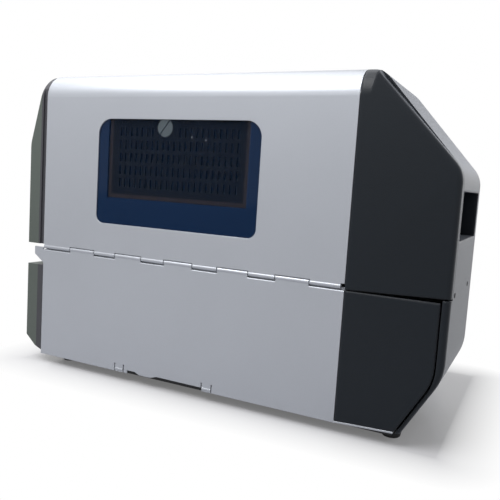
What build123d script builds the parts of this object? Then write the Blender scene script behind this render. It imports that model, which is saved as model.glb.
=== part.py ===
from build123d import *

import math
import os

# Industrial label printer, seen from its media side.
# Millimetres. The front faces -Y, the media door faces +X and +Z is up.
# The origin lies on the table under the middle of the printer.

# Whole printer
body_length = 469.0
body_width = 270.0
body_height = 326.0
media_width = 130.0
foot_height = 6.0
foot_inset_x = 27.0
foot_inset_y = 44.0
corner_radius = 26.0
front_depth = 22.9
bend_drop = 77.0
front_lean = 19.5
front_top_drop = 3.0
toe_height = 28.5
toe_depth = 13.5
toe_rise = 4.6
sheet = 1.2
moulding = 2.5
panel_gap = 0.6
touch_gap = 0.3
running_gap = 0.05

# Rear outline of the media side
cap_length = 90.5
cap_flat = 14.0
slant_angle = 48.5
crest_radius = 31.0
ridge_length = 6.0
rear_radius = 25.0
tail_height = 67.6
tail_angle = 60.2
tail_radius = 48.0
cover_bend_radius = 7.0
tail_floor = 12.4
edge_radius = 4.5
cap_edge = 8.5
rim_width = 6.6
tail_rim = 3.3
rim_gap = 1.6
electronics_setback = 20.0

# Folding media door
door_bottom = 9.4
fold_height = 134.0
knuckle_proud = 0.6
knuckle_radius = 2.4
knuckle_length = 33.2
knuckle_pitch = 62.3
knuckle_start = 39.4
knuckle_slit = 0.8
hinge_tail = 20.0
fold_pin_radius = 1.0
fold_edge = 3.4
hem_depth = 8.0
pull_start = 123.6
pull_end = 215.6
pull_height = 3.5
grip_width = 11.4
grip_ahead = 16.3
grip_radius = 2.2
grip_drop = 0.3
grip_slit = 1.0
grip_slit_height = 8.6
grip_hole_radius = 0.9
bend_radius = 1.2
lip_upturn = 2.4
lip_gap = 1.4
lip_height = 1.6
lip_rise = 2.6
liner_thickness = 2.0
liner_margin = 8.0
ear_reach = 13.0
ear_height = 17.6
ear_chamfer = 9.0

# Viewing window
window_front = 74.1
window_length = 191.2
window_rise = 33.5
window_drop = 48.5
window_top_radius = 16.0
window_low_radius = 9.0
pane_margin = 6.0
pane_thickness = 2.0
grille_length = 166.0
grille_drop = 28.0
grille_thickness = 1.6
grille_border = 5.0
grille_row_pitch = 13.2
grille_slot_width = 2.2
grille_slot_height = 9.0
grille_slot_pitch = 6.6
stud_radius = 9.0
stud_back = 81.5
stud_drop = 8.0

# Top hinge
top_hinge_drop = 4.0
top_barrel_radius = 3.0
top_pin_radius = 1.5
top_knuckles = 7
top_margin = 6.0

# Frame
wall_thickness = 3.0
pan_thickness = 1.5
pan_flange = 14.0
bulkhead_thickness = 1.2
rib_depth = 3.0
rib_margin = 40.0
low_hole_front = 34.0
low_hole_length = 56.0
low_hole_rise = 18.5
low_hole_height = 34.0
high_hole_front = 30.0
high_hole_length = 80.0
high_hole_drop = 30.0
high_hole_height = 30.0
cable_hole_radius = 8.0
cover_post_radius = 4.0
cover_screw_radius = 1.5
cover_post_drop = 36.0

# Label exit and print unit
exit_low = 112.4
exit_high = 136.5
platen_radius = 9.0
platen_shaft_radius = 4.0
platen_back = 38.5
platen_drop = 0.4
platen_clearance = 3.0
bush_wall = 3.0
unit_side_gap = 12.0
unit_depth = 84.0
unit_deck = 94.0
unit_sheet = 2.0
head_rise = 20.0
head_pivot_back = 61.0
head_pivot_rise = 38.0
head_shaft_radius = 4.0
lever_rise = 22.0
lever_ahead = 65.0
cam_angle = 30.0
lever_length = 60.0
lever_radius = 4.0
idler_radius = 6.0
idler_shaft = 3.0

# Ribbon, media and drive
spindle_radius = 13.0
spindle_flange_radius = 30.0
spindle_side_gap = 26.0
takeup_y = -118.0
takeup_z = 252.0
supply_y = -38.0
supply_z = 235.0
hanger_y = 110.0
hanger_z = 170.0
hanger_width = 28.0
hanger_side_gap = 14.0
belt_thickness = 1.6
belt_width = 7.0
platen_pulley_radius = 12.5
motor_pulley_radius = 5.0
motor_size = 56.0
motor_length = 50.0
motor_back = 46.0
motor_drop = 52.0
motor_shaft_radius = 2.5
idler_rise = 2.0
idler_inset = 16.0
sensor_back = 34.0
sensor_drop = 3.0
sensor_rod_radius = 2.5
tension_y = 24.0
tension_z = 56.0
tension_pivot_radius = 3.0
tension_bar_radius = 5.0
tension_reach = 34.0
tension_lift = 28.0
fanfold_width = 110.0
fanfold_height = 42.0
fanfold_drop = 15.5
fanfold_side = 7.0

# Rear panel and front controls
opening_rim = 8.0
inlet_inset = 33.0
inlet_z = 104.0
switch_z = 142.0
network_inset = 29.4
socket_pitch = 22.0
serial_z = 132.0
vent_width = 3.6
vent_pitch = 9.0
vent_side = 21.5
vent_rise = 26.0
vent_drop = 17.0
display_inset = 66.0
display_rise = 36.0
display_width = 70.0
display_height = 38.0
keypad_width = 88.0
keypad_height = 76.0
keypad_drop = 20.0
key_width = 20.0
key_height = 11.0
key_recess = 0.2
key_proud = 1.2
key_flange = 1.6
nav_key = 11.0
key_travel = 1.0
key_pitch = 27.0
key_row_rise = 14.0
nav_drop = 27.0
nav_gap = 2.4

# Electronics
board_thickness = 1.6
board_length = 240.0
board_height = 102.0
board_low = 104.0
board_inset = 37.3
board_standoff = 16.0
board_post_radius = 3.0
board_post_margin = 6.0
supply_box_width = 64.0
supply_box_length = 146.0
supply_box_height = 44.0
supply_box_side = 14.0
supply_box_wall = 1.5
supply_box_gap = 2.6

# Places worked out from the sizes above
half_width = body_width / 2
front_bend = body_height - bend_drop
window_low = fold_height + window_rise
window_high = body_height - window_drop
unit_width = media_width - unit_side_gap
spindle_length = media_width - spindle_side_gap
hanger_length = media_width - hanger_side_gap
face_x = half_width - knuckle_proud
wall_x = face_x - media_width
wall_back_x = wall_x - wall_thickness
front_y = -body_length / 2
rear_y = body_length / 2
door_front_y = front_y + front_depth
seam_y = rear_y - cap_length
slant_y = seam_y + cap_flat
cap_x = face_x - cap_edge
pan_top = foot_height + pan_thickness
fold_x = face_x + knuckle_proud - knuckle_radius
notch_z = fold_height + knuckle_radius + touch_gap
lower_top_z = fold_height - fold_edge
hinge_x = wall_x - wall_thickness / 2
hinge_z = body_height - top_hinge_drop
strip_x = hinge_x + top_hinge_drop
cover_edge_x = hinge_x - top_hinge_drop - 1.5
bulkhead_y = door_front_y + 1.6
platen_y = front_y + platen_back
platen_z = exit_low - platen_drop
head_y = platen_y + head_pivot_back
head_z = platen_z + head_pivot_rise
lever_y = head_y - lever_ahead
lever_z = head_z + lever_rise
unit_right = wall_x + unit_width
unit_front = platen_y - platen_radius - platen_clearance
head_top = platen_z + platen_radius + head_rise
inner_x = face_x - moulding
front_top_z = body_height - front_top_drop
lean = math.atan2(front_lean, front_top_z - front_bend)
cover_rear_y = door_front_y - 0.4


def block(x0, x1, y0, y1, z0, z1):
    """Box between two opposite corners."""
    middle = Pos((x0 + x1) / 2, (y0 + y1) / 2, (z0 + z1) / 2)
    return middle * Box(abs(x1 - x0), abs(y1 - y0), abs(z1 - z0))


def outline(corners):
    """Closed outline from (a, b, radius) corners."""
    points = [(c[0], c[1]) for c in corners]
    radii = [c[2] if len(c) > 2 else 0 for c in corners]
    return FilletPolyline(*points, radius=radii, close=True)


def along_x(corners, x0, x1):
    """Outline in Y and Z, drawn out from x0 to x1."""
    return extrude(Plane.YZ.offset(x0) * make_face(outline(corners)), amount=x1 - x0)


def along_y(corners, y0, y1):
    """Outline in X and Z, drawn out from y0 to y1."""
    start = Plane((0, y1, 0), x_dir=(1, 0, 0), z_dir=(0, -1, 0))
    return extrude(start * make_face(outline(corners)), amount=y1 - y0)


def rod_x(y, z, radius, x0, x1):
    """Round bar along X."""
    return Pos((x0 + x1) / 2, y, z) * Rot(0, 90, 0) * Cylinder(radius, abs(x1 - x0))


def rod_y(x, z, radius, y0, y1):
    """Round bar along Y."""
    return Pos(x, (y0 + y1) / 2, z) * Rot(90, 0, 0) * Cylinder(radius, abs(y1 - y0))


def rod_z(x, y, radius, z0, z1):
    """Round bar along Z."""
    return Pos(x, y, (z0 + z1) / 2) * Cylinder(radius, abs(z1 - z0))


def square_ends(corners):
    """The same corners with the first and the last left sharp."""
    return [corners[0][:2]] + corners[1:-1] + [corners[-1][:2]]


def group(solids):
    """Separate solids that share one node."""
    return Compound(children=list(solids))


def rear_line(inset, low, setback=0.0, tail=None, bend=tail_radius):
    """Corners of the rear outline from top to underside, moved in by inset and on the tail by tail."""
    if tail is None:
        tail = inset
    a = math.radians(slant_angle)
    b = math.radians(tail_angle)
    back = rear_y - setback
    crest = slant_y - setback
    wall_top = body_height - (inset + math.sin(a) * (back - inset - crest)) / math.cos(a)
    wall_low = tail_height + (tail - inset * math.sin(b)) / math.cos(b)
    tail_y = back + (math.cos(b) * (low - tail_height) - tail) / math.sin(b)
    return [
        (crest - inset * math.tan(a / 2), body_height - inset, 0),
        (back - inset, wall_top, rear_radius - inset / 2),
        (back - inset, wall_low, bend),
        (tail_y, low, 0),
    ]


def door_section(inset, low, x_end):
    """Corners of the door's cross-section: side, rounded edge and top."""
    return [
        (face_x - inset, low, 0),
        (face_x - inset, body_height - inset, corner_radius - inset),
        (x_end, body_height - inset, 0),
    ]


def bent_strip(thickness, low, x_end):
    """Cross-section of a sheet that follows the door's side and top."""
    outer = door_section(0, low, x_end)
    inner = door_section(thickness, low, x_end)
    return outer + inner[::-1]


# Media side: rear frame and the black door covers

def rear_bulk(inset, y0):
    """Filled media-side rear with its rounded outer edge, moved in by inset."""
    low = tail_floor + inset
    line = rear_line(inset, low)
    x_in = wall_back_x - touch_gap
    x_out = face_x - inset
    front = [(y0, low, 0), (y0, body_height - inset, 0)]
    tail = along_x(front + line, x_in, x_out)
    rim = [e for e in tail.edges() if abs(e.center().X - x_out) < 0.01]
    rim = [e for e in rim if e.center().Y > y0 + 1 and e.center().Z > low + 0.1]
    tail = fillet(rim, edge_radius - inset / 2)
    crest = (line[0][0], line[0][1], crest_radius - inset)
    ridge_x = cap_x + panel_gap / 2 + inset
    rounded = along_x(front + [crest] + line[1:], x_in, ridge_x)
    ridge = block(ridge_x, half_width, y0, rear_y, 0, body_height)
    section = along_y(door_section(inset, low, x_in) + [(x_in, low, 0)], y0, slant_y + 1)
    step_y = slant_y - ridge_length + inset
    behind = [
        (step_y, 0, 0),
        (step_y, body_height - corner_radius, 0),
        (slant_y + inset, body_height, 0),
        (rear_y, body_height, 0),
        (rear_y, 0, 0),
    ]
    return tail & (rounded + ridge) & (section + along_x(behind, x_in, half_width))


def rear_shell():
    """Wall of even thickness over the media-side rear."""
    return rear_bulk(0, seam_y) - rear_bulk(moulding, seam_y - 1)


def cap_floor():
    """Prism under the upper black cover, whose lower edge rises towards the rear."""
    front_z = fold_height - knuckle_radius
    rear_z = front_z + 3.4
    return along_x(
        [(seam_y - 1, 0, 0), (seam_y - 1, front_z, 0), (rear_y + 1, rear_z, 0), (rear_y + 1, 0, 0)],
        wall_x,
        half_width,
    )


def door_cover_upper():
    """Black moulded rear end of the upper door."""
    half_gap = panel_gap / 2
    side = block(cap_x + half_gap, half_width, seam_y + half_gap, rear_y, 0, body_height)
    crown_z = body_height - corner_radius
    top = block(strip_x, half_width, seam_y + half_gap, slant_y - half_gap, crown_z, body_height)
    cover = (rear_shell() & (side + top)) - cap_floor()
    return cover - block(0, strip_x + corner_radius, seam_y, slant_y, crown_z, body_height - moulding)


def door_cover_lower():
    """Black moulded rear end of the lower door."""
    inset = rim_width + rim_gap
    low = door_bottom + lip_height + touch_gap
    line = rear_line(inset, low + lip_rise, tail=tail_rim + rim_gap)
    corners = [
        (seam_y + panel_gap / 2, low, 0),
        (seam_y + panel_gap / 2, lower_top_z, 0),
        (rear_y - inset, lower_top_z, 0),
        line[2],
        line[3],
    ]
    return along_x(corners, inner_x, face_x)


def fanfold_box(grow):
    """Space of the fan-fold paper slot through the rear wall."""
    x0 = wall_x + fanfold_side
    z1 = rear_line(0, tail_floor)[1][1] - fanfold_drop
    z0 = z1 - fanfold_height
    return block(x0 - grow, x0 + fanfold_width + grow, rear_y - 22, rear_y + 5, z0 - grow, z1 + grow)


def rear_frame():
    """Black moulded rear wall with its slant, lower rim and fan-fold slot."""
    half_gap = panel_gap / 2
    edge_x = cap_x - half_gap
    wall = rear_shell() & block(-half_width, edge_x, slant_y + half_gap, rear_y, 0, body_height)
    top_z = fold_height - knuckle_radius + 1.6
    low = tail_floor
    outer = rear_line(0, low)
    inner = rear_line(rim_width, low, tail=tail_rim)
    ring = [(rear_y, top_z), outer[2], outer[3], inner[3], inner[2], (rear_y - rim_width, top_z)]
    rim = along_x(ring, edge_x, face_x) & rear_bulk(0, seam_y)
    floor = low + moulding
    outer = rear_line(moulding, floor)
    inner = rear_line(rim_width + 1, floor, tail=tail_rim + 1)
    hollow = [
        (rear_y - moulding, top_z + 1),
        outer[2],
        outer[3],
        inner[3],
        inner[2],
        (rear_y - rim_width - 1, top_z + 1),
    ]
    rim = rim - along_x(hollow, edge_x, inner_x)
    tunnel = fanfold_box(moulding) & block(-half_width, half_width, rear_y - 20, rear_y - 1, 0, body_height)
    outer = rear_line(moulding - 0.1, floor)[1:]
    inner = rear_line(16, floor)[1:]
    flange = along_x(square_ends(outer) + square_ends(inner[::-1]), wall_x, wall_x + moulding)
    bridge = rear_shell() & block(-half_width, hinge_x + 1, seam_y, slant_y + 1, fold_height, body_height)
    flange_top = foot_height + pan_flange + touch_gap
    over_pan = block(-half_width, edge_x, 0, pan_rear_y() + touch_gap, 0, flange_top)
    return (wall + flange - over_pan) + rim + tunnel + bridge - fanfold_box(0)


def pan_rear_y():
    """Rear end of the base pan."""
    return rear_line(0, tail_floor)[3][0] - 9


def pan_left_rear_y():
    """Rear end of the base pan on the electronics side."""
    return pan_rear_y() - electronics_setback + 6


# Media door: silver sheets, liners, window and hinge pins

def knuckle_spans():
    """Lengths along Y that the lower door's knuckles take."""
    first = door_front_y + knuckle_start
    room = seam_y - hinge_tail - first - knuckle_length
    starts = [first + i * knuckle_pitch for i in range(int(room / knuckle_pitch) + 1)]
    return [(y, y + knuckle_length) for y in starts]


def tongue_spans():
    """Lengths along Y between the lower knuckles, which the upper door's barrels take."""
    starts = [door_front_y + 1.0] + [b + knuckle_slit for a, b in knuckle_spans()]
    ends = [a - knuckle_slit for a, b in knuckle_spans()] + [seam_y - 3.9]
    return list(zip(starts, ends))


def barrel(x, z, radius, bore, y0, y1):
    """Hinge barrel along Y."""
    return rod_y(x, z, radius, y0, y1) - rod_y(x, z, bore, y0 - 1, y1 + 1)


def window_face(grow):
    """Outline of the window opening, grown by a margin."""
    y0 = door_front_y + window_front - grow
    y1 = door_front_y + window_front + window_length + grow
    z0 = window_low - grow
    z1 = window_high + grow
    return [
        (y0, z0, window_low_radius + grow),
        (y1, z0, window_low_radius + grow),
        (y1, z1, window_top_radius + grow),
        (y0, z1, window_top_radius + grow),
    ]


def top_knuckle_span(index):
    """Length along Y of one barrel of the top hinge."""
    start = door_front_y + top_margin
    pitch = (seam_y - door_front_y - 2 * top_margin) / top_knuckles
    return start + index * pitch + touch_gap, start + (index + 1) * pitch - touch_gap


def media_door_upper():
    """Silver sheet of the upper door, from the folding hinge over the top to the top hinge."""
    y0 = door_front_y
    y1 = seam_y - panel_gap / 2
    skin = along_y(bent_strip(sheet, notch_z, strip_x), y0, y1)
    skin = skin - along_x(window_face(0), face_x - 5, face_x + 5)
    front_hem = along_y(bent_strip(hem_depth, notch_z + 6, strip_x + 4), y0, y0 + sheet)
    skin = skin + front_hem
    for a, b in tongue_spans():
        skin = skin + block(face_x - sheet, face_x, a, b, fold_height, notch_z + 0.2)
        skin = skin + barrel(fold_x, fold_height, knuckle_radius, fold_pin_radius + running_gap, a, b)
        skin = skin - rod_y(fold_x, fold_height, fold_pin_radius + running_gap, a - 1, b + 1)
    arm_low = hinge_z + top_barrel_radius - sheet
    for index in range(1, top_knuckles, 2):
        a, b = top_knuckle_span(index)
        arm = block(hinge_x, strip_x + 6, a, b, arm_low, hinge_z + top_barrel_radius)
        arm = arm - rod_y(hinge_x, hinge_z, top_pin_radius + running_gap, a - 1, b + 1)
        skin = skin + arm + barrel(hinge_x, hinge_z, top_barrel_radius, top_pin_radius + running_gap, a, b)
    return skin


def media_door_lower():
    """Silver sheet of the lower door with its knuckles, front ear, bottom hem and grip tabs."""
    y0 = door_front_y
    y1 = seam_y - panel_gap / 2
    pull_front = y0 + pull_start
    pull_rear = y0 + pull_end
    pull_z = door_bottom + pull_height
    x0 = face_x - sheet
    ear_top = fold_height - 1.0
    ear_low = ear_top - ear_height
    bend_z = lower_top_z - 3 * sheet
    face = [
        (y0, door_bottom, 0),
        (pull_front, door_bottom, 0),
        (pull_front, pull_z, 0),
        (pull_front + 10, pull_z, 2),
        (pull_front + 16, door_bottom + 1, 3),
        (pull_front + 30, door_bottom + 1, 3),
        (pull_front + 38, pull_z, 2),
        (pull_rear, pull_z, 0),
        (pull_rear, door_bottom, 0),
        (y1, door_bottom, 0),
        (y1, bend_z, 0),
        (y0, bend_z, 0),
        (y0, ear_top, 0),
        (y0 - ear_reach, ear_top, 0),
        (y0 - ear_reach, ear_low + ear_chamfer, 2),
        (y0, ear_low, 0),
    ]
    skin = along_x(face, x0, face_x) + top_bend(bend_z, y0, y1)
    lip_low = door_bottom + lip_rise
    lip_end = rear_line(rim_width + rim_gap, lip_low, tail=tail_rim + rim_gap)[3][0]
    for x, height in ((x0, lip_height), (face_x - hem_depth, sheet)):
        lip = [
            (y1 - 1, door_bottom),
            (lip_end, lip_low),
            (lip_end, lip_low + height),
            (y1 - 1, door_bottom + height),
        ]
        skin = skin + along_x(lip, x, face_x)
    for a, b in ((y0 + 4, pull_front - 2 * grip_width), (pull_rear + 1.5 * grip_width, y1)):
        skin = skin + block(face_x - hem_depth, face_x, a, b, door_bottom, door_bottom + sheet)
    for start in (pull_front - grip_ahead, pull_rear + touch_gap):
        skin = grip_tab(skin, start, start + grip_width)
    for a, b in knuckle_spans():
        skin = skin + block(x0, face_x, a, b, bend_z, fold_height)
        skin = skin + barrel(fold_x, fold_height, knuckle_radius, fold_pin_radius + running_gap, a, b)
        skin = skin - rod_y(fold_x, fold_height, fold_pin_radius + running_gap, a - 1, b + 1)
    return skin


def top_bend(low, y0, y1):
    """Rounded upper edge of the lower door, which turns in and up behind the hinge."""
    x0 = face_x - sheet
    lip_x = fold_x - knuckle_radius - lip_gap
    corners = [
        (face_x, low, 0),
        (face_x, lower_top_z, bend_radius),
        (lip_x + sheet, lower_top_z, 0),
        (lip_x + sheet, lower_top_z + lip_upturn, 0),
        (lip_x, lower_top_z + lip_upturn, 0),
        (lip_x, lower_top_z - sheet, 0),
        (x0, lower_top_z - sheet, 0),
        (x0, low, 0),
    ]
    return along_y(corners, y0, y1)


def grip_tab(skin, start, end):
    """The sheet with a curled tab on its lower edge, and with the slits beside the tab."""
    half = grip_slit / 2
    slit_top = door_bottom + grip_slit_height - grip_hole_radius
    for y in (start, end):
        skin = skin - block(face_x - 5, face_x + 1, y - half, y + half, 0, slit_top)
        skin = skin - rod_x(y, slit_top, grip_hole_radius, face_x - 5, face_x + 1)
    x = face_x - grip_radius
    z = door_bottom + grip_radius - grip_drop
    a = start + half
    b = end - half
    curl = rod_y(x, z, grip_radius, a, b) - rod_y(x, z, grip_radius - sheet, a - 1, b + 1)
    curl = curl - block(x - grip_radius - 1, x, a - 1, b + 1, door_bottom, z + grip_radius + 1)
    return skin + curl + block(face_x - sheet, face_x, a, b, z, slit_top)


def liner(y0, y1, z0, z1, tail=False):
    """Inner door panel: a plate with a raised border that bears on the outer sheet."""
    plate_x = inner_x - liner_thickness
    inset = rim_width + rim_gap + 4
    corners = [(y0, z0, 4), (y0, z1, 4), (y1, z1, 4), (y1, z0, 4)]
    if tail:
        line = rear_line(inset, z0, tail=tail_rim + rim_gap + 4)
        corners = [(y0, z0, 4), (y0, z1, 4), (rear_y - inset, z1, 4), line[2], line[3]]
    plate = along_x(corners, plate_x, inner_x)
    pad_rear = seam_y - 6
    for z in (z0 + 5, z1 - 10):
        plate = plate + block(inner_x - 0.1, face_x - sheet, y0 + 6, pad_rear, z, z + 5)
    for y in (y0 + 6, pad_rear - 5):
        plate = plate + block(inner_x - 0.1, face_x - sheet, y, y + 5, z0 + 5, z1 - 5)
    return plate


def door_liner_lower():
    """Inner panel of the lower door with stiffening ribs."""
    plate_x = inner_x - liner_thickness
    z0 = door_bottom + 6
    z1 = lower_top_z - 6
    panel = liner(door_front_y + liner_margin, rear_y, z0, z1, tail=True)
    for i in range(5):
        y = door_front_y + 40 + i * 62
        panel = panel + block(plate_x - 2, plate_x + 0.1, y, y + 2.5, z0 + 10, z1 - 10)
    return panel


def door_liner_upper():
    """Inner panel of the upper door, open round the window pane."""
    z0 = notch_z + 8
    z1 = body_height - corner_radius - 6
    panel = liner(door_front_y + liner_margin, slant_y + 30, z0, z1 - 12)
    plate_x = inner_x - liner_thickness
    clear = along_x(window_face(pane_margin + touch_gap + 0.1), plate_x - 3, face_x)
    frame = along_x(window_face(pane_margin + 5), plate_x - 2, plate_x + 0.1)
    return (panel + frame) - clear


def window_pane():
    """Tinted pane behind the window opening."""
    return along_x(window_face(pane_margin), face_x - sheet - pane_thickness, face_x - sheet)


def grille_place():
    """Front end, lower edge, upper edge and outer face of the grille panel."""
    middle = door_front_y + window_front + window_length / 2
    low = window_low + grille_drop
    high = window_high + pane_margin
    outer = face_x - sheet - pane_thickness - touch_gap / 3
    return middle - grille_length / 2, low, high, outer


def window_grille():
    """Dark framed panel behind the pane, pierced by rows of short upright slots."""
    y0, low, high, outer = grille_place()
    y1 = y0 + grille_length
    back = outer - grille_thickness
    plate = block(back, outer, y0, y1, low, high)
    frame = block(back - 2, back + 0.1, y0, y1, low, high)
    frame = frame - block(back - 3, back + 1, y0 + 2.5, y1 - 2.5, low + 2.5, high - 2.5)
    rows = int((high - low - 2 * grille_border - grille_slot_height - 2) / grille_row_pitch)
    count = int((grille_length - 2 * grille_border - 6) / grille_slot_pitch)
    first = (y0 + y1) / 2 - (count - 1) * grille_slot_pitch / 2
    stud_y, stud_z = stud_place()
    slots = []
    for row in range(rows):
        z = low + grille_border + 7 + row * grille_row_pitch
        for i in range(count):
            y = first + i * grille_slot_pitch
            top = z + grille_slot_height
            if math.hypot(y - stud_y, z - stud_z) > stud_radius + grille_slot_height:
                slots.append(block(back - 1, outer + 1, y, y + grille_slot_width, z, top))
    bore = rod_x(stud_y, stud_z, stud_radius + touch_gap, back - 5, outer + 1)
    return plate + frame - Compound(children=slots) - bore


def stud_place():
    """Centre of the slotted stud that holds the grille."""
    return door_front_y + window_front + stud_back, window_high - stud_drop


def grille_stud():
    """Large slotted quarter-turn stud at the top of the grille."""
    y, z = stud_place()
    outer = grille_place()[3] - touch_gap / 3
    back = grille_place()[3] - grille_thickness
    head = rod_x(y, z, stud_radius, back - 1, outer)
    flange = rod_x(y, z, stud_radius + 1.4, back - 2.4, back - touch_gap / 3)
    slot = Pos(outer, y, z) * Rot(-38, 0, 0) * Box(2.0, 2.2, 3 * stud_radius)
    return head + flange - slot


def fold_hinge_pin():
    """Long pin of the folding hinge."""
    spans = tongue_spans()
    return rod_y(fold_x, fold_height, fold_pin_radius, spans[0][0] + 0.5, spans[-1][1] - 0.5)


def top_hinge_pin():
    """Pin of the top hinge."""
    start = top_knuckle_span(0)[0]
    end = top_knuckle_span(top_knuckles - 1)[1]
    return rod_y(hinge_x, hinge_z, top_pin_radius, start + 0.5, end - 0.5)


def top_hinge_leaf():
    """Fixed leaf of the top hinge, screwed to the centre wall."""
    bore = top_pin_radius + running_gap
    start = top_knuckle_span(0)[0]
    end = top_knuckle_span(top_knuckles - 1)[1]
    leg_x = hinge_x - wall_thickness / 2
    leaf = block(leg_x - 1.5, leg_x, start, end, hinge_z - 18, hinge_z - top_barrel_radius - 1)
    for index in range(0, top_knuckles, 2):
        a, b = top_knuckle_span(index)
        leg = block(leg_x - 1.5, leg_x, a, b, hinge_z - top_barrel_radius - 2, hinge_z)
        leg = leg - rod_y(hinge_x, hinge_z, bore, a - 1, b + 1)
        leaf = leaf + leg + barrel(hinge_x, hinge_z, top_barrel_radius, bore, a, b)
    return leaf


# Frame: base pan, feet, centre wall, bulkhead and outer covers

def base_pan():
    """Folded sheet base with upturned flanges and air slots."""
    x0 = -half_width + sheet + touch_gap
    x1 = face_x - hem_depth - 2
    y0 = bulkhead_y + bulkhead_thickness + touch_gap
    y1 = pan_rear_y()
    y2 = pan_left_rear_y()
    pan = block(x0, x1, y0, y2, foot_height, pan_top)
    pan = pan + block(wall_back_x, x1, y2 - 1, y1, foot_height, pan_top)
    top = foot_height + pan_flange
    flanges = [
        block(x0, x0 + pan_thickness, y0, y2, foot_height, top),
        block(x1 - pan_thickness, x1, y0 + 12, y1 - 40, foot_height, top - 4),
        block(x0, wall_back_x - 20, y0, y0 + pan_thickness, foot_height, top),
        block(x0, wall_back_x - 20, y2 - pan_thickness, y2, foot_height, top),
        block(wall_x + 4, x1, y1 - pan_thickness, y1, foot_height, top),
    ]
    for flange in flanges:
        pan = pan + flange
    for i in range(9):
        y = -60 + i * 12
        pan = pan - block(x0 + 15, x0 + 49, y, y + 4, foot_height - 1, pan_top + 1)
    return pan


def foot_places():
    """Centres of the four feet."""
    left = -half_width + foot_inset_x
    right = face_x - foot_inset_x
    front = front_y + foot_inset_y
    rear = rear_y - foot_inset_y
    return [(left, front), (right, front), (left, rear - electronics_setback), (right, rear)]


def feet():
    """Four rubber feet with a rounded rim and a screw well."""
    solids = []
    for x, y in foot_places():
        profile = [(2.6, 1.8, 0), (5.2, 0, 0), (8.2, 0, 1.2), (9.4, foot_height, 0), (2.6, foot_height, 0)]
        face = Plane.XZ * make_face(outline(profile))
        solids.append(Pos(x, y, 0) * revolve(face, Axis.Z))
    return group(solids)


def wall_outline(inset):
    """Side outline of the centre wall."""
    line = rear_line(inset, pan_top)
    front = door_front_y + 5.2
    top = hinge_z - top_barrel_radius - 0.6
    crest = line[0][0] + (body_height - inset - top) / math.tan(math.radians(slant_angle))
    return [
        (front, pan_top, 0),
        (front, top, 6),
        (crest, top, crest_radius / 2),
        (line[1][0], line[1][1], rear_radius),
        line[2],
        (pan_rear_y() - 4, pan_top + pan_flange, 0),
        (pan_rear_y() - 4, pan_top, 0),
    ]


def spindle_bores():
    """Bores through the centre wall for the turning shafts."""
    bush = platen_shaft_radius + bush_wall
    return [
        (platen_y, platen_z, bush),
        (takeup_y, takeup_z, bush),
        (supply_y, supply_z, bush),
    ]


def plain_bores():
    """Bores through the centre wall for the lever shaft and the idler."""
    y, z = idler_place()
    return [(lever_y, lever_z, lever_radius + running_gap), (y, z, idler_shaft + running_gap)]


def centre_wall():
    """Main upright plate that carries the mechanism, with ribs and cable openings."""
    wall = along_x(wall_outline(moulding + touch_gap), wall_back_x, wall_x)
    flange = block(wall_back_x - 16, wall_x, door_front_y + 24, pan_rear_y() - 40, pan_top, pan_top + 2)
    wall = wall + flange
    for y, z, radius in spindle_bores() + plain_bores():
        wall = wall - rod_x(y, z, radius, wall_back_x - 1, wall_x + 1)
    low = pan_top + low_hole_rise
    high = hinge_z - high_hole_drop - high_hole_height
    wall = wall - cable_hole(low_hole_front, low_hole_length, low, low_hole_height)
    wall = wall - cable_hole(high_hole_front, high_hole_length, high, high_hole_height)
    for z in (board_low - 8, board_low + board_height + 8, hinge_z - 22):
        wall = wall + block(wall_back_x - rib_depth, wall_back_x + 0.1, 0, rib_end(z), z, z + 3)
    boss = tension_pivot_radius + 2
    wall = wall + rod_x(tension_y, tension_z, boss, wall_x - 0.1, wall_x + 1.7)
    wall = wall + rod_x(tension_y, tension_z, tension_pivot_radius, wall_x, wall_x + 7)
    return wall + rod_x(tension_y, tension_z, boss, wall_x + 6.3, wall_x + 8)


def cable_hole(front, length, low, height):
    """Cutter of a rounded cable opening through the centre wall."""
    r = cable_hole_radius
    corners = [
        (front, low, r),
        (front + length, low, r),
        (front + length, low + height, r),
        (front, low + height, r),
    ]
    return along_x(corners, wall_back_x - 1, wall_x + 1)


def rib_end(z):
    """Rear end of a rib at a height, a margin ahead of the wall's edge."""
    slant_edge = slant_y + (body_height - z) / math.tan(math.radians(slant_angle))
    return min(rear_y, slant_edge) - rib_margin


def front_bulkhead():
    """Folded front plate between the frame and the front covers."""
    y0 = bulkhead_y
    y1 = bulkhead_y + bulkhead_thickness
    x0 = -half_width + sheet + 1
    x1 = face_x - hem_depth - 4
    corners = [
        (x0, pan_top, 0),
        (x0, body_height - sheet - 3, corner_radius - 3),
        (x1, body_height - sheet - 3, corner_radius - 8),
        (x1, pan_top, 0),
    ]
    plate = along_y(corners, y0, y1)
    plate = plate - block(wall_x, x1 + 1, y0 - 1, y1 + 1, unit_deck - 18, exit_high + 14)
    belt_reach = platen_pulley_radius + belt_thickness + 2
    belt_low = platen_z - belt_reach
    plate = plate - block(pulley_span()[0] - 2, wall_x, y0 - 1, y1 + 1, belt_low, platen_z + belt_reach)
    left = display_x() - display_width / 2 - 6
    right = display_x() + display_width / 2 + 6
    low = front_bend - 13
    high = body_height - 30
    opening = [(left, low, 4), (right, low, 4), (right, high, 4), (left, high, 4)]
    plate = plate - along_y(opening, y0 - 1, y1 + 1)
    for z in (exit_high + 43.5, body_height - cover_post_drop):
        plate = plate + block(wall_x, wall_x + 1.5, y1 - 0.1, y1 + 14, z, z + 12)
    return plate


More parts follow.
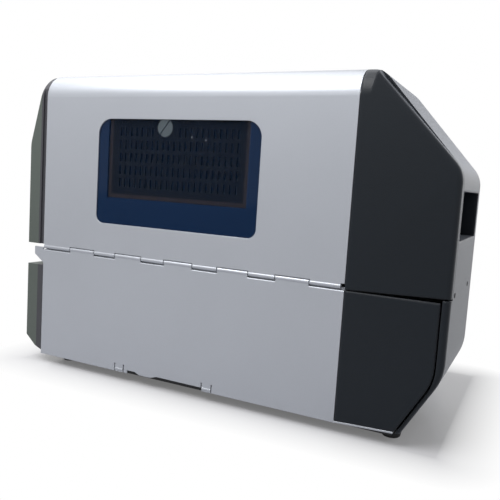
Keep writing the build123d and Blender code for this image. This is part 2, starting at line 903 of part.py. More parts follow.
def cover_bulk(inset):
    """Filled shape of the electronics cover, moved in by inset."""
    past = 1 if inset > 0 else 0
    low = door_bottom - past
    y0 = door_front_y - past
    left = -half_width + inset
    right = wall_back_x - 1 + 2 * past
    top = body_height - inset
    section = [(left, low, 0), (left, top, corner_radius - inset), (right, top, 0), (right, low, 0)]
    line = rear_line(inset, low, electronics_setback, bend=cover_bend_radius)
    side = [(y0, low, 0), (y0, top, 0)] + line
    return along_y(section, y0, rear_y) & along_x(side, -half_width - 1, right)


def electronics_cover():
    """Silver sheet cover over the electronics side."""
    shell = cover_bulk(0) - cover_bulk(sheet)
    back = rear_y - electronics_setback
    low = tail_height + opening_rim
    high = rear_line(sheet, low, electronics_setback)[1][1] - opening_rim - 6
    opening = block(-half_width + opening_rim, wall_x, back - 6, back + 1, low, high)
    groove_end = slant_y - electronics_setback + 3
    groove = block(cover_edge_x, wall_x, door_front_y - 1, groove_end, body_height - 12, body_height + 1)
    shell = shell - opening - groove
    start = bulkhead_y + bulkhead_thickness + touch_gap
    end = slant_y - electronics_setback - 4
    flange = block(cover_edge_x - sheet, cover_edge_x, start, end, body_height - 11, body_height - 0.1)
    shell = shell + flange
    for row in range(2):
        for i in range(10):
            y = 30 + i * 14
            z = 60 + row * 52
            slot = along_x(
                [(y, z, 1.7), (y + 3.5, z, 1.7), (y + 3.5, z + 40, 1.7), (y, z + 40, 1.7)],
                -half_width - 1,
                -half_width + sheet + 1,
            )
            shell = shell - slot
    return shell


def panel_place():
    """Outer face, lower edge and upper edge of the rear panel."""
    back = rear_y - electronics_setback - sheet
    low = tail_height + 3
    high = rear_line(sheet, low, electronics_setback)[1][1] - 16
    return back, low, high


def port_cuts():
    """Openings of the rear panel: (x, z, width, height)."""
    inlet_x = -half_width + inlet_inset
    network_x = wall_back_x - network_inset
    return {
        "power_inlet": (inlet_x, inlet_z, 28.0, 22.0),
        "power_switch": (inlet_x, switch_z, 20.0, 14.0),
        "network_port": (network_x, inlet_z, 16.4, 14.0),
        "usb_port": (network_x - socket_pitch, inlet_z, 12.4, 11.2),
        "serial_port": (network_x - socket_pitch / 2, serial_z, 31.0, 12.6),
    }


def rear_panel():
    """Steel panel at the electronics side's rear with its sockets' openings and air slots."""
    back, low, high = panel_place()
    x0 = -half_width + sheet + touch_gap
    x1 = wall_back_x - touch_gap
    panel = block(x0, x1, back - 1.5, back, low, high)
    for x, z, width, height in port_cuts().values():
        w = width / 2
        h = height / 2
        panel = panel - block(x - w, x + w, back - 3, back + 1, z - h, z + h)
    z0 = switch_z + vent_rise
    z1 = high - vent_drop
    radius = vent_width / 2 - 0.1
    for i in range(int((x1 - x0 - 2 * vent_side) / vent_pitch) + 1):
        a = x0 + vent_side + i * vent_pitch
        b = a + vent_width
        corners = [(a, z0, radius), (b, z0, radius), (b, z1, radius), (a, z1, radius)]
        panel = panel - along_y(corners, back - 3, back + 1)
    return panel


def socket(name, depth, flange, lip=0.9):
    """Socket body that fills its opening, with a thin flange on the panel's face."""
    back = panel_place()[0]
    x, z, width, height = port_cuts()[name]
    w = (width - touch_gap) / 2
    h = (height - touch_gap) / 2
    body = block(x - w, x + w, back - depth, back + lip, z - h, z + h)
    w = width / 2 + flange
    h = height / 2 + flange
    return body + block(x - w, x + w, back, back + lip, z - h, z + h)


def power_inlet():
    """Mains inlet with three flat blades in its well, and the frame of the power switch above it."""
    back = panel_place()[0]
    x, z, width, height = port_cuts()["power_inlet"]
    well = along_y(
        [
            (x - 12, z - 8, 1),
            (x + 12, z - 8, 1),
            (x + 12, z + 3, 1),
            (x + 7, z + 8, 1),
            (x - 7, z + 8, 1),
            (x - 12, z + 3, 1),
        ],
        back - 17,
        back + 3,
    )
    body = socket("power_inlet", 24, 3) - well
    for dx, dz in ((-7, -2), (7, -2), (0, 3)):
        body = body + block(x + dx - 1, x + dx + 1, back - 18, back - 3, z + dz - 2, z + dz + 2)
    x, z, width, height = port_cuts()["power_switch"]
    frame = socket("power_switch", 13, 1.6, 1.4)
    frame = frame - block(x - 7.6, x + 7.6, back - 11, back + 3, z - 5, z + 5)
    frame = frame - rod_x(back - 2.5, z, 1.2, x - 8.5, x + 8.5)
    return group([body, frame])


def data_ports():
    """Network socket, square data socket and nine-way serial connector."""
    return group([network_port(), usb_port(), serial_port()])


def network_port():
    """Network socket with its stepped mouth."""
    back = panel_place()[0]
    x, z, width, height = port_cuts()["network_port"]
    mouth = block(x - 6, x + 6, back - 13, back + 3, z - 4, z + 4.5)
    key = block(x - 3, x + 3, back - 13, back + 3, z - 6, z - 3)
    return socket("network_port", 17, 1) - mouth - key


def usb_port():
    """Square data socket with its tongue."""
    back = panel_place()[0]
    x, z, width, height = port_cuts()["usb_port"]
    mouth = block(x - 4.4, x + 4.4, back - 10, back + 3, z - 4, z + 4)
    tongue = block(x - 2.8, x + 2.8, back - 11, back - 2, z - 1.5, z + 1.5)
    return socket("usb_port", 14, 0.8) - mouth + tongue


def serial_port():
    """Nine-way serial connector with hexagonal jack nuts."""
    back = panel_place()[0]
    x, z, width, height = port_cuts()["serial_port"]
    shell = along_y(
        [(x - 8.5, z - 4.2, 2), (x + 8.5, z - 4.2, 2), (x + 9.6, z + 4.2, 2), (x - 9.6, z + 4.2, 2)],
        back,
        back + 5,
    )
    mouth = [(x - 7.5, z - 3.2, 1), (x + 7.5, z - 3.2, 1), (x + 8.5, z + 3.2, 1), (x - 8.5, z + 3.2, 1)]
    shell = shell - along_y(mouth, back + 1, back + 6)
    body = socket("serial_port", 9, 0.8) + shell
    for dx in (-12.5, 12.5):
        nut = Pos(x + dx, back, z) * Rot(-90, 0, 0) * extrude(RegularPolygon(2.6, 6), amount=4.5)
        body = body + nut
    for row, count in ((1.4, 5), (-1.4, 4)):
        for i in range(count):
            pin_x = x + (i - (count - 1) / 2) * 2.8
            body = body + rod_y(pin_x, z + row, 0.5, back - 1, back + 4)
    return body


def power_rocker():
    """Rocker of the power switch on its pivot."""
    back = panel_place()[0]
    x, z, width, height = port_cuts()["power_switch"]
    half = 7.6 - touch_gap
    side = [
        (back - 2.5, z - 4.2, 0),
        (back + 2.2, z - 4.3, 0.6),
        (back + 0.2, z, 2),
        (back + 0.9, z + 4.3, 0.6),
        (back - 2.5, z + 4.2, 0),
        (back - 5.5, z, 0),
    ]
    return along_x(side, x - half, x + half) + rod_x(back - 2.5, z, 1.2 - running_gap, x - 8.3, x + 8.3)


def front_section(inset, low, side_inset):
    """Cross-section corners of the front covers with their rounded top edges."""
    x = half_width - side_inset
    right = face_x - side_inset
    top = body_height - inset
    radius = corner_radius - side_inset
    return [(-x, low, 0), (-x, top, radius), (right, top, radius), (right, low, 0)]


def upper_front_bulk(inset, rear, low_media, low_left):
    """Filled upper front cover: low on the left, ending above the label exit on the media side."""
    side = [
        (front_y + inset, low_left),
        (front_y + inset, front_bend - inset / 8, 30 - inset),
        (front_y + front_lean + inset, front_top_z - inset, 3 - inset * 0.8),
        (rear, front_top_z - inset),
        (rear, low_left),
    ]
    bulk = along_x(side, -half_width + inset, face_x - inset)
    bulk = bulk & along_y(front_section(0, low_left, inset), front_y, rear)
    return bulk - block(wall_x - inset, half_width, front_y - 1, rear + 1, low_left - 1, low_media)


def face_plane(x, along):
    """Plane on the leaning face of the upper front cover, along mm above its lower bend."""
    origin = (x, front_y + along * math.sin(lean), front_bend + along * math.cos(lean))
    return Plane(origin, x_dir=(1, 0, 0), z_dir=(0, -math.cos(lean), math.sin(lean)))


def front_cover_upper():
    """Black front moulding with the control panel and the top of the label exit."""
    rear = cover_rear_y
    shell = upper_front_bulk(0, rear, exit_high, exit_low + panel_gap)
    core = upper_front_bulk(moulding, rear + 1, exit_high + moulding, exit_low + panel_gap + moulding)
    shell = shell - core
    rabbet = block(face_x - 1.6, half_width, rear - 5.0, rear + 1, 0, body_height)
    shell = shell - rabbet
    place = face_plane(display_x(), display_rise)
    shell = shell - place * Box(display_width, display_height, 3 * moulding)
    shell = shell - along_y(keypad_outline(0), front_y - 1, front_y + moulding + 1)
    within = upper_front_bulk(1, bulkhead_y, exit_high + 1, exit_low + 1)
    post_z = body_height - cover_post_drop
    beside = display_x() + display_width / 2 + 19
    for x, z in ((-half_width + 15, front_bend - 8), (beside, post_z), (face_x - 24, post_z)):
        shell = shell + (rod_y(x, z, cover_post_radius, front_y, bulkhead_y) & within)
        shell = shell - rod_y(x, z, cover_screw_radius, bulkhead_y - 8, bulkhead_y + 1)
    return shell


def display_x():
    """Middle of the display across the printer."""
    return -half_width + display_inset


def display_lens():
    """Clear lens over the display."""
    lens = Pos(0, 0, -0.9) * Box(display_width - touch_gap, display_height - touch_gap, 1.8)
    return face_plane(display_x(), display_rise) * lens


def display_module():
    """Liquid-crystal module behind the lens, on four short posts."""
    place = face_plane(display_x(), display_rise)
    glass = place * (Pos(0, 0, -3.1) * Box(display_width - 6, display_height - 6, 2.0))
    module = glass + place * (Pos(0, 0, -5.0) * Box(display_width + 12, display_height + 8, 1.8))
    for dx in (-1, 1):
        for dy in (-1, 1):
            spot = Pos(dx * (display_width / 2 + 3.5), dy * (display_height / 2 + 2), -3.9)
            module = module + place * spot * Cylinder(1.5, 1.8)
    return module


def keypad_box():
    """Left and right ends of the keypad."""
    middle = display_x()
    return middle - keypad_width / 2, middle + keypad_width / 2


def keypad_heights():
    """Lower and upper edges of the keypad."""
    high = front_bend - keypad_drop
    return high - keypad_height, high


def key_places():
    """Node name, x, z, width and height of each key."""
    middle = display_x()
    low, high = keypad_heights()
    row_z = low + key_row_rise
    nav_z = high - nav_drop
    step = nav_key + nav_gap
    return [
        ("key_pause", middle - key_pitch, row_z, key_width, key_height),
        ("key_feed", middle, row_z, key_width, key_height),
        ("key_cancel", middle + key_pitch, row_z, key_width, key_height),
        ("key_up", middle, nav_z + step, nav_key, nav_key),
        ("key_down", middle, nav_z - step, nav_key, nav_key),
        ("key_left", middle - step, nav_z, nav_key, nav_key),
        ("key_right", middle + step, nav_z, nav_key, nav_key),
        ("key_select", middle, nav_z, nav_key, nav_key),
    ]


def keypad_outline(grow):
    """Outline of the keypad's opening, grown by a margin."""
    x0, x1 = keypad_box()
    low, high = keypad_heights()
    return [
        (x0 - grow, low - grow, 3),
        (x1 + grow, low - grow, 3),
        (x1 + grow, high + grow, 3),
        (x0 - grow, high + grow, 3),
    ]


def keypad_bezel():
    """Face plate of the keypad, flanged behind the cover, with an opening for each key."""
    face = front_y + key_recess + key_proud
    seat = front_y + moulding
    plate = along_y(keypad_outline(-touch_gap / 2), face, seat + 0.1)
    plate = plate + along_y(keypad_outline(3), seat, seat + key_flange)
    for name, x, z, width, height in key_places():
        w = width / 2 + touch_gap
        h = height / 2 + touch_gap
        plate = plate - block(x - w, x + w, front_y - 1, front_y + 6, z - h, z + h)
    return plate


def key_skirt_span():
    """Front and rear of the keys' retaining skirts."""
    start = front_y + moulding + key_flange + touch_gap / 2
    return start, start + 0.8


def keypad_board():
    """Switch board behind the keys, on four legs."""
    x0, x1 = keypad_box()
    low, high = keypad_heights()
    y = key_skirt_span()[1] + key_travel + touch_gap
    board = block(x0, x1, y, y + 1.6, low, high)
    for x in (x0, x1 - 3):
        for z in (low, high - 3):
            board = board + block(x, x + 3, front_y + moulding + key_flange, y + 0.1, z, z + 3)
    return board


def control_boards():
    """Display module and switch board of the control panel."""
    return group([display_module(), keypad_board()])


def key_cap(x, z, width, height):
    """One key with a rounded outline and a retaining skirt."""
    w = width / 2
    h = height / 2
    start, end = key_skirt_span()
    corners = [(x - w, z - h, 1.5), (x + w, z - h, 1.5), (x + w, z + h, 1.5), (x - w, z + h, 1.5)]
    cap = along_y(corners, front_y + key_recess, end)
    return cap + block(x - w - 0.9, x + w + 0.9, start, end, z - h - 0.9, z + h + 0.9)


def lower_front_bulk(inset, rear):
    """Filled lower front cover, moved in by inset."""
    floor = tail_floor + inset
    side = [
        (front_y + inset, exit_low),
        (front_y + inset, toe_height + inset / 2, 2),
        (front_y + toe_depth + inset / 2, floor + toe_rise, 2),
        (rear, floor + 1.2),
        (rear, exit_low),
    ]
    return along_x(side, -half_width + inset, face_x - inset)


def front_cover_lower():
    """Black lower front moulding with a chamfered toe."""
    rear = cover_rear_y
    top = block(-half_width, half_width, front_y, rear, exit_low - moulding, exit_low)
    shell = lower_front_bulk(0, rear) - lower_front_bulk(moulding, rear + 1)
    shell = shell + (top & lower_front_bulk(0, rear))
    post_z = exit_low - 52
    for x in (-half_width + 25, wall_x + 60):
        shell = shell + rod_y(x, post_z, cover_post_radius, front_y + 1, bulkhead_y)
        shell = shell - rod_y(x, post_z, cover_screw_radius, bulkhead_y - 8, bulkhead_y + 1)
    return shell


# Print unit

def print_unit_frame():
    """Folded bench that carries the platen, tear bar and idler."""
    y0 = unit_front
    y1 = y0 + unit_depth
    t = unit_sheet
    bench = block(wall_x, unit_right, y0, y1, unit_deck, unit_deck + t)
    gap = platen_radius + 1.2
    bench = bench - block(wall_x + 4, unit_right - 4, platen_y - gap, platen_y + gap, 0, body_height)
    bench = bench + block(wall_x, unit_right, y0, y0 + t, pan_top, unit_deck + 1)
    bench = bench + block(wall_x, unit_right, y1 - t, y1, pan_top, unit_deck + 1)
    ear = along_x(
        [
            (platen_y - 10, unit_deck, 0),
            (platen_y - 10, platen_z + 6, 4),
            (platen_y + 14, platen_z + 6, 6),
            (platen_y + 20, unit_deck, 0),
        ],
        unit_right - t,
        unit_right,
    )
    y, z = idler_place()
    rear_ear = along_x(
        [(y - 14, unit_deck, 0), (y - 8, z + 7, 4), (y + 8, z + 7, 4), (y1, unit_deck, 0)],
        unit_right - t,
        unit_right,
    )
    bench = bench + ear + rear_ear
    a = unit_right - t - 1
    b = unit_right + 1
    bench = bench - rod_x(platen_y, platen_z, platen_shaft_radius + bush_wall, a, b)
    bench = bench - rod_x(y, z, idler_shaft + running_gap, a, b)
    return bench + lever_post() + sensor_rail()


def bush(y, z, x0, x1, flange_x):
    """Flanged shaft bush."""
    outer = platen_shaft_radius + bush_wall
    body = rod_x(y, z, outer, x0, x1)
    body = body + rod_x(y, z, outer + 2, flange_x, flange_x + 1.5)
    return body - rod_x(y, z, platen_shaft_radius + running_gap, x0 - 5, x1 + 5)


def shaft_bushes():
    """Bushes of the platen and the two ribbon spindles."""
    solids = [bush(y, z, wall_back_x, wall_x, wall_x) for y, z, radius in spindle_bores()]
    solids.append(bush(platen_y, platen_z, unit_right - unit_sheet, unit_right, unit_right))
    return group(solids)


def platen_roller():
    """Rubber sleeve of the platen."""
    x0 = wall_x + 6
    x1 = unit_right - unit_sheet - 5
    sleeve = rod_x(platen_y, platen_z, platen_radius, x0, x1)
    return sleeve - rod_x(platen_y, platen_z, platen_shaft_radius, x0 - 1, x1 + 1)


def platen_shaft():
    """Steel shaft of the platen, with a flat at its outer end."""
    end = unit_right + 3
    shaft = rod_x(platen_y, platen_z, platen_shaft_radius, wall_back_x - 16, end)
    flat_z = platen_z + platen_shaft_radius - 1
    return shaft - block(end - 1.4, end + 1, platen_y - 5, platen_y + 5, flat_z, flat_z + 5)


def toothed_pulley(y, z, radius, teeth, x0, x1, bore):
    """Timing pulley with flanges on both sides."""
    flange = radius + belt_thickness * 0.6
    wheel = rod_x(y, z, radius - 1.0, x0, x1)
    tooth = block(x0 + 1, x1 - 1, -0.8, 0.8, radius - 1.6, radius)
    step = 360.0 / teeth
    for i in range(teeth):
        wheel = wheel + Pos(0, y, z) * Rot(i * step, 0, 0) * tooth
    wheel = wheel + rod_x(y, z, flange, x0, x0 + 1) + rod_x(y, z, flange, x1 - 1, x1)
    return wheel - rod_x(y, z, bore, x0 - 1, x1 + 1)


def pulley_span():
    """Both ends of the pulleys along X."""
    return wall_back_x - 14, wall_back_x - 4


def motor_place():
    """Axis of the drive motor."""
    return platen_y + motor_back, platen_z - motor_drop


def platen_pulley():
    """Large timing pulley on the platen shaft."""
    x0, x1 = pulley_span()
    bore = platen_shaft_radius + running_gap
    return toothed_pulley(platen_y, platen_z, platen_pulley_radius, 30, x0, x1, bore)


def motor_pulley():
    """Small timing pulley with the motor's shaft."""
    x0, x1 = pulley_span()
    y, z = motor_place()
    wheel = toothed_pulley(y, z, motor_pulley_radius, 12, x0, x1, motor_shaft_radius)
    return wheel + rod_x(y, z, motor_shaft_radius, x0 - 14, x1 - 2)


def drive_belt():
    """Timing belt round both pulleys."""
    x0, x1 = pulley_span()
    mid = (x0 + x1) / 2
    big = platen_pulley_radius + touch_gap
    small = motor_pulley_radius + touch_gap
    y, z = motor_place()
    distance = math.hypot(y - platen_y, z - platen_z)
    turn = math.atan2(z - platen_z, y - platen_y)

    def loop(extra):
        """Belt outline, grown by extra, along the line of both axes."""
        lean_back = math.acos((big - small) / distance)
        c, s = math.cos(lean_back), math.sin(lean_back)
        r1, r2 = big + extra, small + extra
        a = (r1 * c, r1 * s)
        b = (distance + r2 * c, r2 * s)
        far = (distance + r2, 0)
        near = (-r1, 0)
        edges = [
            Line(a, b),
            ThreePointArc(b, far, (b[0], -b[1])),
            Line((b[0], -b[1]), (a[0], -a[1])),
            ThreePointArc((a[0], -a[1]), near, a),
        ]
        return make_face(edges)

    ring = loop(belt_thickness) - loop(0)
    start = (mid - belt_width / 2, platen_y, platen_z)
    plane = Plane(start, x_dir=(0, math.cos(turn), math.sin(turn)), z_dir=(1, 0, 0))
    return extrude(plane * ring, amount=belt_width)


def motor_plate_x():
    """Left and right faces of the motor plate."""
    x0 = pulley_span()[0] - 4
    return x0 - 2, x0


def motor_bracket():
    """Plate on four posts that holds the drive motor off the centre wall."""
    x0, x1 = motor_plate_x()
    y, z = motor_place()
    half = motor_size / 2
    plate = block(x0, x1, y - half - 3, y + half + 3, z - half, z + half)
    plate = plate - rod_x(y, z, 6, x0 - 1, x1 + 1)
    for dy, dz in ((-half, 5 - half), (-half, 4), (half, 5 - half), (half, half - 5)):
        plate = plate + rod_x(y + dy, z + dz, 3, x1 - 0.5, wall_back_x)
    return plate


def drive_motor():
    """Stepper motor with chamfered corners and end caps."""
    x1 = motor_plate_x()[0]
    x0 = x1 - motor_length
    y, z = motor_place()
    half = motor_size / 2

    def can(size, cut, a, b):
        """Length of the motor with its corners cut off."""
        corners = [
            (y - size + cut, z - size, 0),
            (y + size - cut, z - size, 0),
            (y + size, z - size + cut, 0),
            (y + size, z + size - cut, 0),
            (y + size - cut, z + size, 0),
            (y - size + cut, z + size, 0),
            (y - size, z + size - cut, 0),
            (y - size, z - size + cut, 0),
        ]
        return along_x(corners, a, b)

    body = can(half, 5, x0, x0 + 12) + can(half - 1, 8, x0 + 12, x1 - 12) + can(half, 5, x1 - 12, x1)
    return body - rod_x(y, z, motor_shaft_radius + 0.7, x1 - 14, x1 + 1)


def tear_bar():
    """Serrated strip that labels are torn against."""
    y1 = unit_front
    y0 = y1 - 1.5
    x0 = wall_x + 8
    x1 = unit_right - 6
    strip = block(x0, x1, y0, y1, unit_deck - 16, platen_z + platen_radius - 3)
    pitch = 4.0
    top = platen_z + platen_radius - 3
    count = int((x1 - x0) / pitch)
    teeth = [(x0, top - 0.5, 0)]
    for i in range(count):
        teeth.append((x0 + i * pitch, top, 0))
        teeth.append((x0 + (i + 0.5) * pitch, top + 2.4, 0))
    teeth.append((x0 + count * pitch, top, 0))
    teeth.append((x0 + count * pitch, top - 0.5, 0))
    return strip + along_y(teeth, y0, y1)


def idler_place():
    """Axis of the idler roller."""
    return unit_front + unit_depth - idler_inset, platen_z + idler_rise


def idler_roller():
    """Free roller that leads the labels to the platen."""
    y, z = idler_place()
    x1 = unit_right - unit_sheet - 2
    return rod_x(y, z, idler_radius, wall_x + 4, x1) + rod_x(y, z, idler_shaft, wall_back_x, unit_right + 2)


def sensor_place():
    """Rail of the label sensor."""
    return platen_y + sensor_back, platen_z - sensor_drop


def sensor_rail():
    """Rod that the label sensor slides on."""
    y, z = sensor_place()
    rail = rod_x(y, z, sensor_rod_radius, wall_x, unit_right - unit_sheet - 6)
    post_x = unit_right - unit_sheet - 10
    return rail + block(post_x, post_x + 4, y - 3, y + 3, unit_deck + unit_sheet, z)


def label_sensor():
    """Forked label sensor on its rail."""
    y, z = sensor_place()
    x0 = wall_x + 14
    x1 = x0 + 16
    body = block(x0, x1, y - 8, y + 9, z - 5, z + 4)
    fork = block(x0, x1, y - 8, y + 9, z + 8, z + 13) + block(x0, x0 + 4, y - 8, y + 9, z + 3, z + 9)
    return body + fork - rod_x(y, z, sensor_rod_radius + running_gap, x0 - 1, x1 + 1)


def printhead_bracket():
    """Swinging bracket over the platen: tube, sloping plate and cheeks."""
    x0 = wall_x + 6
    x1 = unit_right - 6
    top = head_top
    front = platen_y - 10
    t = unit_sheet
    side = [
        (front, top, 0),
        (platen_y + 20, top, 0),
        (head_y - 4, head_z - 5, 0),
        (head_y + 2, head_z - 5, 0),
        (head_y + 2, head_z - 5 + t, 0),
        (head_y - 5, head_z - 5 + t, 0),
        (platen_y + 19.4, top + t, 0),
        (front, top + t, 0),
    ]
    bracket = along_x(side, x0, x1) + rod_x(head_y, head_z, head_shaft_radius + 2.5, x0, x1)
    cheek = [
        (platen_y + 4, top, 0),
        (platen_y + 4, top + 8, 3),
        (head_y, head_z + 5, 3),
        (head_y + 3, head_z - 3, 0),
        (platen_y + 20, top, 0),
    ]
    for x in (x0, x1 - t):
        bracket = bracket + along_x(cheek, x, x + t)
    return bracket - rod_x(head_y, head_z, head_shaft_radius + running_gap, x0 - 1, x1 + 1)


def printhead():
    """Thermal printhead: finned aluminium carrier over a ceramic strip."""
    x0 = wall_x + 8
    x1 = unit_right - 8
    bottom = platen_z + platen_radius + 0.4
    top = head_top
    front = platen_y - 8
    rear = platen_y + 16
    carrier = block(x0, x1, front, rear, bottom + 2, top)
    for i in range(3):
        y = front + 5 + i * 6
        carrier = carrier - block(x0 - 1, x1 + 1, y, y + 3, top - 10, top - 2)
    strip = block(x0, x1, front + 2, front + 16, bottom, bottom + 2.1)
    return carrier + strip


def head_lever():
    """Release lever with its cam shaft, two cams and a rounded handle."""
    shaft = rod_x(lever_y, lever_z, lever_radius, wall_back_x, unit_right + 4)
    tilt = math.radians(cam_angle)
    reach = lever_z - head_top - unit_sheet - touch_gap
    tip = (reach - 3 * math.sin(tilt)) / math.cos(tilt)
    lobe = [(-5, 3, 2), (-3, -tip, 2), (3, -tip, 2), (5, 3, 2)]
    for x in (wall_x + 34, unit_right - 42):
        shaft = shaft + Pos(0, lever_y, lever_z) * Rot(cam_angle, 0, 0) * along_x(lobe, x, x + 8)
    handle = along_x(
        [
            (lever_y - 7, lever_z - 7, 6),
            (lever_y + lever_length, lever_z - 5, 4),
            (lever_y + lever_length, lever_z + 7, 4),
            (lever_y - 7, lever_z + 8, 6),
        ],
        unit_right - 0.5,
        unit_right + 4,
    )
    return shaft + handle


def lever_post():
    """Outer post that carries the head shaft and the lever shaft."""
    x1 = unit_right - unit_sheet
    x0 = x1 - 3
    foot_z = unit_deck + unit_sheet
    post = along_x(
        [
            (head_y - 42, foot_z),
            (lever_y - 7, lever_z - 10, 4),
            (lever_y - 7, lever_z + 8, 6),
            (lever_y + 8, lever_z + 8, 6),
            (head_y + 8, head_z + 8, 6),
            (head_y + 8, head_z - 8, 6),
            (head_y - 24, idler_place()[1] + 14, 4),
            (head_y - 24, foot_z),
        ],
        x0,
        x1,
    )
    post = post - rod_x(lever_y, lever_z, lever_radius + running_gap, x0 - 1, x1 + 1)
    return post - rod_x(head_y, head_z, head_shaft_radius + running_gap, x0 - 1, x1 + 1)


# Ribbon and media

def spindle(y, z, tail):
    """Ribbon spindle: flange, finned core and shaft through the wall."""
    x0 = wall_x + 4
    x1 = x0 + spindle_length
    body = rod_x(y, z, spindle_flange_radius, x0, x0 + 2.5)
    body = body + rod_x(y, z, spindle_radius - 2, x0, x1)
    fin = block(x0 + 2, x1 - 3, -1.25, 1.25, 0, spindle_radius)
    for i in range(6):
        body = body + Pos(0, y, z) * Rot(i * 60, 0, 0) * fin
    return body + rod_x(y, z, platen_shaft_radius, wall_back_x - tail, x0 + 1)


def ribbon_supply_spindle():
    """Spindle that holds the full ribbon."""
    return spindle(supply_y, supply_z, 6)


def ribbon_takeup_spindle():
    """Spindle that winds the used ribbon, with its slip-clutch drum."""
    drum = rod_x(takeup_y, takeup_z, 18, wall_back_x - 12, wall_back_x - 5)
    return spindle(takeup_y, takeup_z, 13) + drum


def guide_rods():
    """Fixed rods: the shaft that the printhead bracket swings on and two rods that guide the ribbon."""
    rods = [rod_x(head_y, head_z, head_shaft_radius, wall_x, unit_right)]
    for y, z in ((platen_y + 12, platen_z + 76), (head_y + 52, head_z + 16)):
        rods.append(rod_x(y, z, 3, wall_x, wall_x + spindle_length + 6))
    return group(rods)


def media_hanger():
    """Arm for the label roll: a channel on a base plate with a turned-up tip."""
    x0 = wall_x
    x1 = wall_x + hanger_length
    half = hanger_width / 2
    y, z = hanger_y, hanger_z
    base = block(x0, x0 + 3, y - half - 8, y + half + 8, z - 24, z + 14)
    arm = along_x(
        [
            (y - half, z - 12, 3),
            (y - half, z - 2, 3),
            (y - half + 8, z + 2, 4),
            (y + half - 8, z + 2, 4),
            (y + half, z - 2, 3),
            (y + half, z - 12, 3),
        ],
        x0 + 2.9,
        x1,
    )
    hollow = block(x0 + 6, x1 + 1, y - half + 2.5, y + half - 2.5, z - 13, z - 2.5)
    tip = block(x1 - 3, x1, y - half + 3, y + half - 3, z - 6, z + 14)
    return base + arm - hollow + tip


def media_guide():
    """Roll guide that slides along the hanger."""
    half = hanger_width / 2
    y, z = hanger_y, hanger_z
    x1 = wall_x + hanger_length - 4.2
    x0 = x1 - 3
    reach = half + 9
    plate = along_x(
        [(y - reach, z - 30, 6), (y - reach, z + 34, 14), (y + reach, z + 34, 14), (y + reach, z - 30, 6)],
        x0,
        x1,
    )
    g = touch_gap
    hole = along_x(
        [
            (y - half - g, z - 12 - g, 3),
            (y - half - g, z - 2 + g, 3),
            (y - half + 8 - g, z + 2 + g, 4),
            (y + half - 8 + g, z + 2 + g, 4),
            (y + half + g, z - 2 + g, 3),
            (y + half + g, z - 12 - g, 3),
        ],
        x0 - 1,
        x1 + 1,
    )
    return plate - hole


def tension_arm():
    """Sprung tension arm with a round bar that the labels pass under."""
    y, z = tension_y, tension_z
    bar_y = y - tension_reach
    bar_z = z + tension_lift
    x0 = wall_x + 2
    x1 = x0 + spindle_length
    arm = along_x(
        [(y - 2, z - 9, 6), (y + 9, z - 2, 6), (bar_y + 5, bar_z + 7, 5), (bar_y - 6, bar_z - 3, 5)],
        x0,
        x0 + 4,
    )
    arm = arm + rod_x(bar_y, bar_z, tension_bar_radius, x0 + 2, x1)
    arm = arm + rod_x(bar_y, bar_z, tension_bar_radius + 4, x1, x1 + 2)
    return arm - rod_x(y, z, tension_pivot_radius + running_gap, x0 - 1, x0 + 5)


# Electronics

def board_box():
    """Edges of the logic board along Y and Z."""
    y1 = panel_place()[0] - board_inset
    return y1 - board_length, y1, board_low, board_low + board_height


def board_x():
    """Face of the logic board that its posts meet."""
    return wall_back_x - board_standoff


def logic_board():
    """Main circuit board on four standoffs."""
    y0, y1, z0, z1 = board_box()
    board = block(board_x() - board_thickness, board_x(), y0, y1, z0, z1)
    margin = board_post_margin
    for y in (y0 + margin, y1 - margin):
        for z in (z0 + margin, z1 - margin):
            board = board + rod_x(y, z, board_post_radius, board_x() - 0.1, wall_back_x)
    return board


def board_parts():
    """Parts soldered on the logic board: connectors, capacitors, chips and a finned heat sink."""
    y0, y1, z0, z1 = board_box()
    x1 = board_x() - board_thickness
    solids = []
    sockets = ((24, 16, 30, 12, 9), (24, 76, 24, 10, 8), (124, 86, 40, 8, 10), (184, 16, 34, 12, 9))
    chips = ((84, 36, 24), (134, 46, 16), (174, 56, 14))
    for dy, dz, w, h, d in sockets:
        solids.append(block(x1 - d, x1, y0 + dy, y0 + dy + w, z0 + dz, z0 + dz + h))
    for dy, dz, size in chips:
        solids.append(block(x1 - 2.5, x1, y0 + dy, y0 + dy + size, z0 + dz, z0 + dz + size))
    for i in range(4):
        solids.append(rod_x(y1 - 26, z0 + 20 + i * 18, 6, x1 - 18, x1))
    low = z0 + 26
    front = y0 + 44
    sink = block(x1 - 4, x1, front, front + 30, low, low + 40)
    for i in range(5):
        y = front + i * 6.9
        sink = sink + block(x1 - 14, x1 - 3.9, y, y + 2.4, low, low + 40)
    solids.append(sink)
    return group(solids)


def power_supply():
    """Boxed power supply with a vented lid."""
    x0 = -half_width + supply_box_side
    x1 = x0 + supply_box_width
    y1 = pan_left_rear_y() - pan_thickness - supply_box_gap
    y0 = y1 - supply_box_length
    top = pan_top + supply_box_height
    t = supply_box_wall
    box = block(x0, x1, y0, y1, pan_top, top) - block(x0 + t, x1 - t, y0 + t, y1 - t, pan_top + t, top - t)
    for i in range(12):
        y = y0 + 14 + i * 10
        box = box - block(x0 + 8, x1 - 8, y, y + 4, top - 4, top + 1)
    return box


